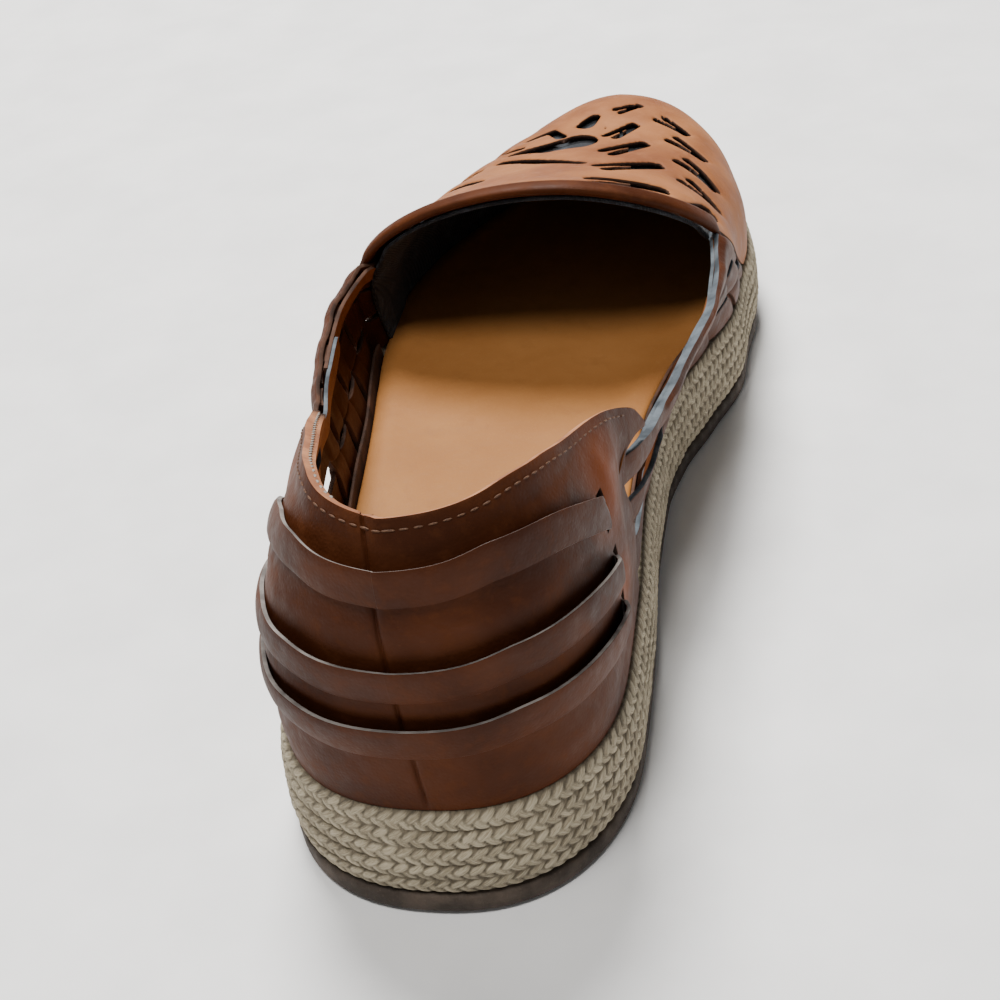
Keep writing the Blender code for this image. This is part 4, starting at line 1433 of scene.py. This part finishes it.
def quarter_facings():
    """Facings inside the top straps cover the upright strips' ends.

    The lateral one comes in two lengths, and the rear length ends in a rounded tip over the other.
    """
    for name, (hand, first, last, deep_first, deep_last, edge) in FACINGS.items():
        tip = last - FACING_TIP * np.linspace(0.9, 0, 8) ** 2
        stations = np.concatenate([np.linspace(first, last - FACING_TIP, 80), tip])
        into_tip = np.clip((stations - last + FACING_TIP) / (FACING_TIP + 0.02), 0, 1)
        rounding = np.sqrt(np.clip(1 - into_tip**2, 0, 1))
        across = np.linspace(-0.5, 0.5, 7)[:, None]
        share = FACING_MIDDLE + FACING_WIDE * across * (0.35 + 0.65 * rounding)
        v = share * top_v(np.minimum(stations, THROAT_Y), hand, BUNDLE)
        along = slanted(stations, hand, v)
        sink = smoothstep((stations - FACING_SINK_FROM) / FACING_SINK_RUN)
        deep = deep_first + (deep_last - deep_first) * sink
        strap_wall = TOP_STRAP_WALL if hand > 0 else STRAP_WALL
        drop = smoothstep((stations - FACING_DROP_FROM) / FACING_DROP_RUN)
        base = strap_base(stations) - strap_wall - FACING_GAP
        base = base - (deep - strap_wall - FACING_GAP) * drop - FACING_VAMP_TUCK * under_vamp(stations)
        points = last_point(along, hand, v, base + FACING_CROWN * np.cos(np.pi * across))
        mesh = turned_out(grid_mesh(points), hand)
        piece = make_piece("quarter_facing_" + name, mesh, [INNER_HIDE, edge], ["upper"])
        add_wall(piece, FACING_WALL, edge_material=1)
        round_edges(piece, 0.2)


FOOT_STRIP_FROM = 50.0
FOOT_STRIP_TO = 152.0
FOOT_STRIP_TALL = 4.6
FOOT_STRIP_IN = 2.08


def quarter_feet():
    """A strip painted dark as shade inside each quarter's foot, closing the gap between the weave and the
    insole.
    """
    stations = np.linspace(FOOT_STRIP_FROM, FOOT_STRIP_TO, 80)
    rows = np.linspace(0, 1, 6)[:, None]
    for hand, side_name in HANDS:
        _, y = outline(stations, hand)
        tall = FOOT_STRIP_TALL + 0.5 * np.sin(stations / 7)
        v = v_at_height(stations, hand, SOLE_TOP + SOLE_CLEAR + spring(y) + rows * tall)
        mesh = turned_out(grid_mesh(last_point(stations, hand, v, -FOOT_STRIP_IN)), hand)
        piece = make_piece("quarter_foot_shade_" + side_name, mesh, [DARK_EDGE_AND_SHADE], ["upper"])
        add_wall(piece, 0.75)
        round_edges(piece, 0.2)


# ---------------------------------------------------------------- the vamp

# Openings of the vamp, in plan: both ends of an opening, its depth along the shoe, and how much of
# that depth is left at its far end. A thin bar of hide runs along the middle of each.
LADDER_OPENINGS = (
    (17.2, 152.6, 26.4, 155.4, 3.6, 0.7),
    (12.6, 162.0, 27.8, 168.2, 7.4, 0.3),
    (11.9, 178.4, 24.0, 188.2, 6.6, 0.3),
    (10.9, 194.0, 18.8, 202.0, 6.0, 0.35),
    (9.8, 206.6, 14.8, 214.0, 5.0, 0.4),
    (31.0, 184.6, 38.2, 180.6, 5.4, 0.4),
    (28.8, 196.6, 36.6, 191.6, 5.6, 0.4),
    (25.2, 208.8, 33.0, 204.2, 5.0, 0.4),
    (20.8, 219.8, 27.6, 215.2, 4.4, 0.4),
    (-24.0, 194.6, -33.6, 199.8, 5.2, 0.4),
    (-20.0, 208.6, -28.4, 214.2, 4.8, 0.4),
    (-14.4, 221.4, -20.6, 226.4, 3.8, 0.4),
    (9.4, 222.0, 14.6, 227.0, 3.6, 0.4),
)
NEAR_OFFSET = 0.34
NEAR_HALF = 0.21
FAR_HALF = 0.172
# Single slits and holes: both ends, and half the width at each end.
SLITS = (
    (6.1, 183.2, 1.2, -4.8, 188.6, 1.7),
    (-4.8, 188.6, 1.7, -17.6, 197.0, 0.9),
    (-18.7, 178.6, 1.3, -29.0, 186.6, 1.4),
    (-28.0, 168.4, 1.0, -36.0, 175.6, 1.2),
    (1.6, 203.4, 5.0, -5.0, 200.8, 3.8),
    (-5.0, 200.8, 3.8, -16.4, 202.4, 0.5),
    (1.9, 215.4, 2.4, 3.6, 219.0, 1.6),
    (-3.6, 208.6, 1.4, -7.2, 214.6, 1.2),
    (-7.2, 214.6, 1.2, -12.6, 212.6, 1.1),
    (-13.6, 205.8, 0.9, -18.6, 207.2, 0.8),
    (33.2, 161.0, 2.3, 37.4, 171.6, 2.1),
    (34.6, 155.8, 1.0, 39.6, 161.4, 1.0),
)
FINE_TO = 228.0
FINE_STATIONS = 142
TOE_STATIONS = 24
LOW_ROWS = 16
HIGH_ROWS = 96
LOW_SHARE = 0.3
SNAP_WITHIN = 0.34
SNAP_ROUNDS = 4
SNAP_STEP = 0.3
# The hide sinks a little towards a slit's edge, by PUFF at the edge itself.
PUFF = 0.5
PUFF_RUN = 0.9
# Corners this close are one: along a slit, and where the two halves meet. A smaller face is a sliver.
SLIT_JOIN = 0.16
HALVES_JOIN = 0.03
SLIVER = 0.02
VAMP_FOOT_FADE = 0.06
VAMP_WAVES = 0.3
VAMP_WAVE_SIZE = 24.0


def vamp_slits():
    """All slits, with each ladder opening as two slits that close up towards its far end."""
    slits = list(SLITS)
    for x0, y0, x1, y1, depth, left in LADDER_OPENINGS:
        length = np.hypot(x1 - x0, y1 - y0)
        cross_x, cross_y = -(y1 - y0) / length, (x1 - x0) / length
        for hand in (1, -1):
            near = hand * depth * NEAR_OFFSET
            far = near * left
            slits.append((
                x0 + cross_x * near, y0 + cross_y * near, depth * NEAR_HALF,
                x1 + cross_x * far, y1 + cross_y * far, depth * FAR_HALF,
            ))
    return slits


def slit_distance(x, y):
    """Distance in plan to the nearest slit's edge, negative inside a slit."""
    nearest = np.full(np.shape(x), 50.0)
    for x0, y0, half0, x1, y1, half1 in vamp_slits():
        run_x, run_y = x1 - x0, y1 - y0
        share = ((x - x0) * run_x + (y - y0) * run_y) / (run_x**2 + run_y**2)
        share = np.clip(share, 0, 1)
        away = np.hypot(x - x0 - share * run_x, y - y0 - share * run_y)
        nearest = np.minimum(nearest, away - (half0 + share * (half1 - half0)))
    return nearest


def vamp_place(stations, hand, v, grow=0.0):
    return last_point(slanted(stations, hand, v), hand, v, grow)


def away_from_slits(stations, hand, v):
    place = vamp_place(stations, hand, v)
    return slit_distance(place[..., 0], place[..., 1])


def snapped(stations, hand, v):
    """Moves the sheet's corners that lie close to a slit's outline onto it."""
    step_s, step_v = 0.1, 0.001
    fixed = (v < 0.001) | (v > 0.999) | (stations > LENGTH - 4) | (stations < THROAT_Y + 0.01)
    near = (np.abs(away_from_slits(stations, hand, v)) < SNAP_WITHIN) & ~fixed
    for _ in range(SNAP_ROUNDS):
        here = away_from_slits(stations, hand, v)
        place = vamp_place(stations, hand, v)
        long_s = np.linalg.norm(vamp_place(stations + step_s, hand, v) - place, axis=-1) + 1e-6
        long_v = np.linalg.norm(vamp_place(stations, hand, v - step_v) - place, axis=-1) + 1e-6
        slope_s = (away_from_slits(stations + step_s, hand, v) - here) / long_s
        slope_v = (here - away_from_slits(stations, hand, v - step_v)) / long_v
        steep = np.maximum(slope_s**2 + slope_v**2, 0.2)
        move = np.where(near, np.clip(-here / steep, -SNAP_STEP, SNAP_STEP), 0.0)
        stations = stations + move * slope_s * step_s / long_s
        v = np.clip(v + move * slope_v * step_v / long_v, 0, 1)
    return stations, v


def vamp_half(hand):
    """One side of the vamp's sheet, with its slits cut to their outlines."""
    along = np.concatenate([
        np.linspace(THROAT_Y, FINE_TO, FINE_STATIONS + 1),
        even_stations(FINE_TO, LENGTH, TOE_STATIONS)[1:],
    ])
    up = np.concatenate([
        np.linspace(0, LOW_SHARE, LOW_ROWS + 1), np.linspace(LOW_SHARE, 1, HIGH_ROWS + 1)[1:],
    ])
    stations = along + np.zeros((len(up), 1))
    v = up[:, None] + 0 * stations
    stations, v = snapped(stations, hand, v)
    away = away_from_slits(stations, hand, v)
    place = vamp_place(stations, hand, v)
    puffed = -PUFF * np.exp(-np.maximum(away, 0) / PUFF_RUN)
    waves = VAMP_WAVES * slow_waves(*np.moveaxis(place, -1, 0), VAMP_WAVE_SIZE, seed=5)
    grow = (puffed + waves) * smoothstep(v / VAMP_FOOT_FADE)
    mesh = grid_mesh(clear_of_sole(vamp_place(stations, hand, v, grow)))
    columns = away.shape[1]
    middle_s = (stations[:-1, :-1] + stations[1:, :-1] + stations[:-1, 1:] + stations[1:, 1:]) / 4
    middle_v = (v[:-1, :-1] + v[1:, :-1] + v[:-1, 1:] + v[1:, 1:]) / 4
    inside = away_from_slits(middle_s, hand, middle_v) < -0.04
    gone = [mesh.faces[row * (columns - 1) + column] for row, column in zip(*np.nonzero(inside))]
    bmesh.ops.delete(mesh, geom=gone, context="FACES")
    mesh.verts.index_update()
    return turned_out(mesh, hand)


def slit_corners(mesh):
    """The corners that lie along a slit."""
    return [
        vertex for vertex in mesh.verts
        if vertex.is_boundary and abs(slit_distance(vertex.co.x, vertex.co.y)) < 0.5
    ]


def tidy_slits(mesh):
    """Leaves each slit a clean edge: no slivers, no folded faces and no jagged corners."""
    bmesh.ops.remove_doubles(mesh, verts=slit_corners(mesh), dist=SLIT_JOIN)
    mesh.normal_update()
    folded = []
    for face in mesh.faces:
        middle = face.calc_center_median()
        outwards = Vector((middle.x - 5.0, 0.0, middle.z - SOLE_TOP + 12.0))
        if face.calc_area() < SLIVER or (middle.y < FINE_TO and face.normal.dot(outwards) < 0):
            folded.append(face)
    bmesh.ops.delete(mesh, geom=folded, context="FACES")
    drop_loose(mesh)
    single = [face for face in mesh.faces if sum(edge.is_boundary for edge in face.edges) >= 3]
    bmesh.ops.delete(mesh, geom=single, context="FACES")
    drop_loose(mesh)
    for _ in range(3):
        bmesh.ops.smooth_vert(
            mesh, verts=slit_corners(mesh), factor=0.4,
            use_axis_x=True, use_axis_y=True, use_axis_z=True,
        )


def vamp():
    """The vamp: one hide over the forefoot, slit in ladders on each side of plain strips."""
    mesh = joined([vamp_half(1.0), vamp_half(-1.0)])
    bmesh.ops.remove_doubles(mesh, verts=mesh.verts, dist=HALVES_JOIN)
    drop_loose(mesh)
    tidy_slits(mesh)
    piece = make_piece("vamp_hide", mesh, [LIT_VAMP_HIDE, DARK_EDGE_AND_SHADE], ["upper"], sharp=50)
    add_wall(piece, UPPER_WALL - 0.2, edge_material=1, even=False)


LINING_FROM = THROAT_Y + 1.2
LINING_COLUMNS = 60
LINING_ROWS = 31
LINING_CLOTH_WALL = 0.8
# The cloth lies this far inside the hide's face, and deeper where it passes behind the straps' ends.
LINING_DEEP = 2.3
STRAP_ROOM = 1.1


def vamp_lining():
    """Charcoal cloth close under the vamp, seen through its slits and inside the throat."""
    halves = []
    for hand in (1.0, -1.0):
        stations = even_stations(LINING_FROM, LENGTH, LINING_COLUMNS) + np.zeros((LINING_ROWS, 1))
        v = np.linspace(0.0, 1, LINING_ROWS)[:, None] + 0 * stations
        corner = float(top_v(np.array([THROAT_Y]), hand)[0])
        past_straps = smoothstep((stations - QUARTER_END) / 10)
        above_straps = smoothstep((v - corner - 0.02) / 0.08)
        deeper = STRAP_ROOM * (1 - past_straps) * (1 - above_straps)
        points = clear_of_sole(vamp_place(stations, hand, v, -LINING_DEEP - deeper))
        halves.append(turned_out(grid_mesh(points), hand))
    mesh = joined(halves)
    bmesh.ops.remove_doubles(mesh, verts=mesh.verts, dist=HALVES_JOIN)
    piece = make_piece("vamp_lining", mesh, [LINING_CLOTH], ["upper"])
    add_wall(piece, LINING_CLOTH_WALL)


# The folded band along the throat: its section as (forward from the edge, out from the hide).
BAND_SECTION = (
    (3.8, -0.3), (3.5, 0.22), (2.9, 0.32), (1.8, 0.36), (0.8, 0.32), (0.1, 0.15), (-0.25, -0.2),
    (-0.38, -0.7), (-0.3, -1.3), (-0.05, -1.65), (0.6, -1.85), (2.0, -1.9), (3.0, -1.8), (3.6, -1.2),
)
THROAT_PLACES = 170
THROAT_PAST = 0.03
BAND_MIDDLE = 0.9
BAND_PINCHED = 0.35


def throat_line(count):
    """Places along the throat, from just past its lateral corner over the ridge to the medial one."""
    corner = {hand: float(top_v(np.array([THROAT_Y]), hand)[0]) for hand in (1.0, -1.0)}
    half = count // 2
    lateral = np.linspace(corner[-1.0] - THROAT_PAST, 1.0, half + 1)[:-1]
    medial = np.linspace(1.0, corner[1.0] - THROAT_PAST, half + 1)
    v = np.concatenate([lateral, medial])
    hand = np.concatenate([-np.ones(half), np.ones(half + 1)])
    return v, hand


def throat_frame():
    """The throat's places with their outward and forward directions."""
    v, hand = throat_line(THROAT_PLACES)
    stations = np.full(v.shape, THROAT_Y)
    place = vamp_place(stations, hand, v)
    out = vamp_place(stations, hand, v, 1.0) - place
    along = np.gradient(place, axis=0)
    along /= np.linalg.norm(along, axis=-1, keepdims=True)
    out -= along * np.sum(out * along, axis=-1, keepdims=True)
    out /= np.linalg.norm(out, axis=-1, keepdims=True)
    forward = np.cross(out, along)
    forward *= np.sign(forward[:, 1:2])
    return place, out, forward


def throat_band():
    """The folded band that binds the throat's edge, pinched flat at both ends."""
    place, out, forward = throat_frame()
    ahead, outwards = np.array(BAND_SECTION).T
    ends = np.sin(np.clip(np.linspace(0, 1, len(place)) * 22, 0, 1) * np.pi / 2)
    ends = ends * ends[::-1]
    thick = BAND_PINCHED + (1 - BAND_PINCHED) * ends[:, None, None]
    sections = (
        place[:, None]
        + ahead[None, :, None] * forward[:, None]
        + (outwards[None, :, None] + BAND_MIDDLE) * thick * out[:, None]
        - BAND_MIDDLE * out[:, None]
    )
    mesh = lofted(sections)
    make_piece("throat_band", mesh, [COUNTER_HIDE_SHADED], ["upper"], sharp=60)


# ---------------------------------------------------------------- the sewing

def stitch_row(name, places, outwards, material, long=1.7, wide=0.5, rise=0.42):
    """Stitches as small beads along a line of places."""
    along = np.gradient(places, axis=0)
    along /= np.linalg.norm(along, axis=-1, keepdims=True)
    mesh = bmesh.new()
    for place, run, out in zip(places, along, outwards):
        out = out - run * np.dot(run, out)
        out /= np.linalg.norm(out)
        across = np.cross(out, run)
        turn = Matrix(np.array([run * long, across * wide, out * rise]).T.tolist()).to_4x4()
        turn.translation = Vector(place)
        bmesh.ops.create_uvsphere(mesh, u_segments=8, v_segments=6, radius=0.5, matrix=turn)
    make_piece(name, mesh, [material], sharp=80)


def evenly_along(places, spacing):
    """The shares of the way along a line of places that stand spacing apart."""
    steps = np.linalg.norm(np.diff(places, axis=0), axis=-1)
    run = np.concatenate([[0], np.cumsum(steps)])
    wanted = np.arange(spacing / 2, run[-1], spacing)
    return np.interp(wanted, run, np.arange(len(places)))


def collar_line(below, grow, reach, hands=(1.0, -1.0)):
    """A line round the collar at a distance below its top edge, moved out from the hide."""
    one = np.concatenate([SEAM_STATIONS, even_stations(0, reach, 120)[1:]])
    stations = both_sides(one)
    side = side_of(len(stations))
    kept = np.isin(side, hands)
    stations, side = stations[kept], side[kept]
    height = by_side(TOPLINE, "", stations / LENGTH, side) - below
    v = v_at_height(stations, side, height)
    rise = creased(stations, side, height, COUNTER_CREASES) if grow > 0 else 0.0
    place = last_point(stations, side, v, grow + rise)
    return place, last_point(stations, side, v, grow + 1.0 + rise) - place


def stitches_at(name, line, spacing, material, **size):
    places, outwards = line
    at = evenly_along(places, spacing)
    whole = np.arange(len(places))
    spots = np.stack([np.interp(at, whole, places[:, axis]) for axis in range(3)], -1)
    outs = np.stack([np.interp(at, whole, outwards[:, axis]) for axis in range(3)], -1)
    stitch_row(name, spots, outs, material, **size)


# The collar's seams run forward to these stations, and the lateral rim's stops short of the back.
COLLAR_SEWN_TO = 66.0
LINING_SEWN_TO = 57.5
RIM_BARE = 30


def sewing():
    """Rows of stitches round the collar: outside it, on its lateral rim, and on its lining."""
    outside = collar_line(1.8, 0.05, COLLAR_SEWN_TO)
    stitches_at("collar_stitches", outside, 2.4, BROWN_THREAD, wide=0.4, rise=0.3)
    rim, _ = collar_line(-0.45, -COUNTER_WALL, COLLAR_SEWN_TO, hands=(-1.0,))
    rim = rim[:-RIM_BARE]
    upwards = np.zeros_like(rim) + (0.0, 0.0, 1.0)
    stitches_at("rim_stitches", (rim, upwards), 1.9, GREY_THREAD, long=1.1, wide=0.7, rise=0.3)
    inside = COUNTER_WALL + LINING_WALL + 0.08
    stitches_at("lining_stitches", collar_line(2.4, -inside, LINING_SEWN_TO), 2.5, GREY_THREAD)


# ---------------------------------------------------------------- the setting

def floor():
    """A plain pale table top, matt and faintly uneven."""
    top = Finish("pale_table", roughness=0.85, specular=0.2)
    mottle = top.noise(30.0, detail=3.0)
    colour = top.blend(top.spread(mottle, 0.35, 0.65), "f2f2f2", "fbfbfb")
    material = top.done(colour, top.raised(mottle, 0.05))
    mesh = bmesh.new()
    bmesh.ops.create_grid(mesh, x_segments=1, y_segments=1, size=6.0)
    data = bpy.data.meshes.new("table_top")
    mesh.to_mesh(data)
    mesh.free()
    data.materials.append(material)
    table_top = bpy.data.objects.new("table_top", data)
    bpy.context.scene.collection.objects.link(table_top)


def soft_light(name, place, aim, power, size):
    """A round area light at a place, aimed at another."""
    data = bpy.data.lights.new(name, "AREA")
    data.shape = "DISK"
    data.size = size
    data.energy = power
    data.color = WINDOW_WHITE
    light = bpy.data.objects.new(name, data)
    light.location = place
    light.rotation_euler = (Vector(aim) - Vector(place)).to_track_quat("-Z", "Y").to_euler()
    bpy.context.scene.collection.objects.link(light)


# Lights: where each stands, what it is aimed at, its watts and its width.
LIGHTS = {
    "window": ((-0.25, 0.66, 1.3), (0.0, 0.0, 0.04), 43.0, 0.6),
    "room": ((-0.1, -0.36, 1.25), (0.0, -0.05, 0.05), 11.0, 0.45),
}
WINDOW_WHITE = (1.0, 0.98, 0.95)
CAMERA_PLACE = (0.0850, -0.3322, 0.2495)
CAMERA_YAW = -0.278
CAMERA_PITCH = np.radians(35.9)
CAMERA_ROLL = -0.161
CAMERA_LENS = 65.0
# The room is bright behind the heel, and dark beyond the toe.
ROOM_BRIGHT_SIDE = (-0.1, -0.97, 0.15)
ROOM_DIMMING = {"From Min": -0.3, "From Max": 0.95, "To Min": 0.07, "To Max": 0.28}


def camera():
    """Above and behind the heel, a little to the medial side, looking down into the shoe."""
    ahead = np.array([np.sin(CAMERA_YAW), np.cos(CAMERA_YAW), 0.0])
    level = np.array([np.cos(CAMERA_YAW), -np.sin(CAMERA_YAW), 0.0])
    rise = np.array([0.0, 0.0, 1.0])
    forward = ahead * np.cos(CAMERA_PITCH) - rise * np.sin(CAMERA_PITCH)
    head = ahead * np.sin(CAMERA_PITCH) + rise * np.cos(CAMERA_PITCH)
    right = np.cos(CAMERA_ROLL) * level + np.sin(CAMERA_ROLL) * head
    up = np.cos(CAMERA_ROLL) * head - np.sin(CAMERA_ROLL) * level
    turn = Matrix(np.array([right, up, -forward]).T.tolist()).to_4x4()
    turn.translation = Vector(CAMERA_PLACE)
    data = bpy.data.cameras.new("camera")
    data.lens = CAMERA_LENS
    data.clip_start = 0.01
    eye = bpy.data.objects.new("camera", data)
    eye.matrix_world = turn
    bpy.context.scene.collection.objects.link(eye)
    bpy.context.scene.camera = eye


def light():
    """A pale room, darker beyond the toe, with a high window there and a soft light over the heel."""
    world = bpy.data.worlds.new("pale room")
    world.use_nodes = True
    tree = world.node_tree
    sky = tree.nodes["Background"]
    sky.inputs["Color"].default_value = (1.0, 1.0, 1.0, 1.0)
    towards = tree.nodes.new("ShaderNodeTexCoord")
    facing = tree.nodes.new("ShaderNodeVectorMath")
    facing.operation = "DOT_PRODUCT"
    facing.inputs[1].default_value = ROOM_BRIGHT_SIDE
    dimmer = tree.nodes.new("ShaderNodeMapRange")
    for name, value in ROOM_DIMMING.items():
        dimmer.inputs[name].default_value = value
    tree.links.new(towards.outputs["Generated"], facing.inputs[0])
    tree.links.new(facing.outputs["Value"], dimmer.inputs["Value"])
    tree.links.new(dimmer.outputs["Result"], sky.inputs["Strength"])
    bpy.context.scene.world = world
    for name, (place, aim, power, size) in LIGHTS.items():
        soft_light(name, place, aim, power, size)


def main():
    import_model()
    jute_wrap()
    rubber_rim()
    rubber_tread()
    insole_board()
    heel_counter()
    heel_lining()
    for name in STRAPS:
        heel_strap(name)
    quarter_straps()
    quarter_strips()
    quarter_facings()
    quarter_feet()
    vamp()
    vamp_lining()
    throat_band()
    sewing()
    floor()
    light()
    camera()
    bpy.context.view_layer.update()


main()
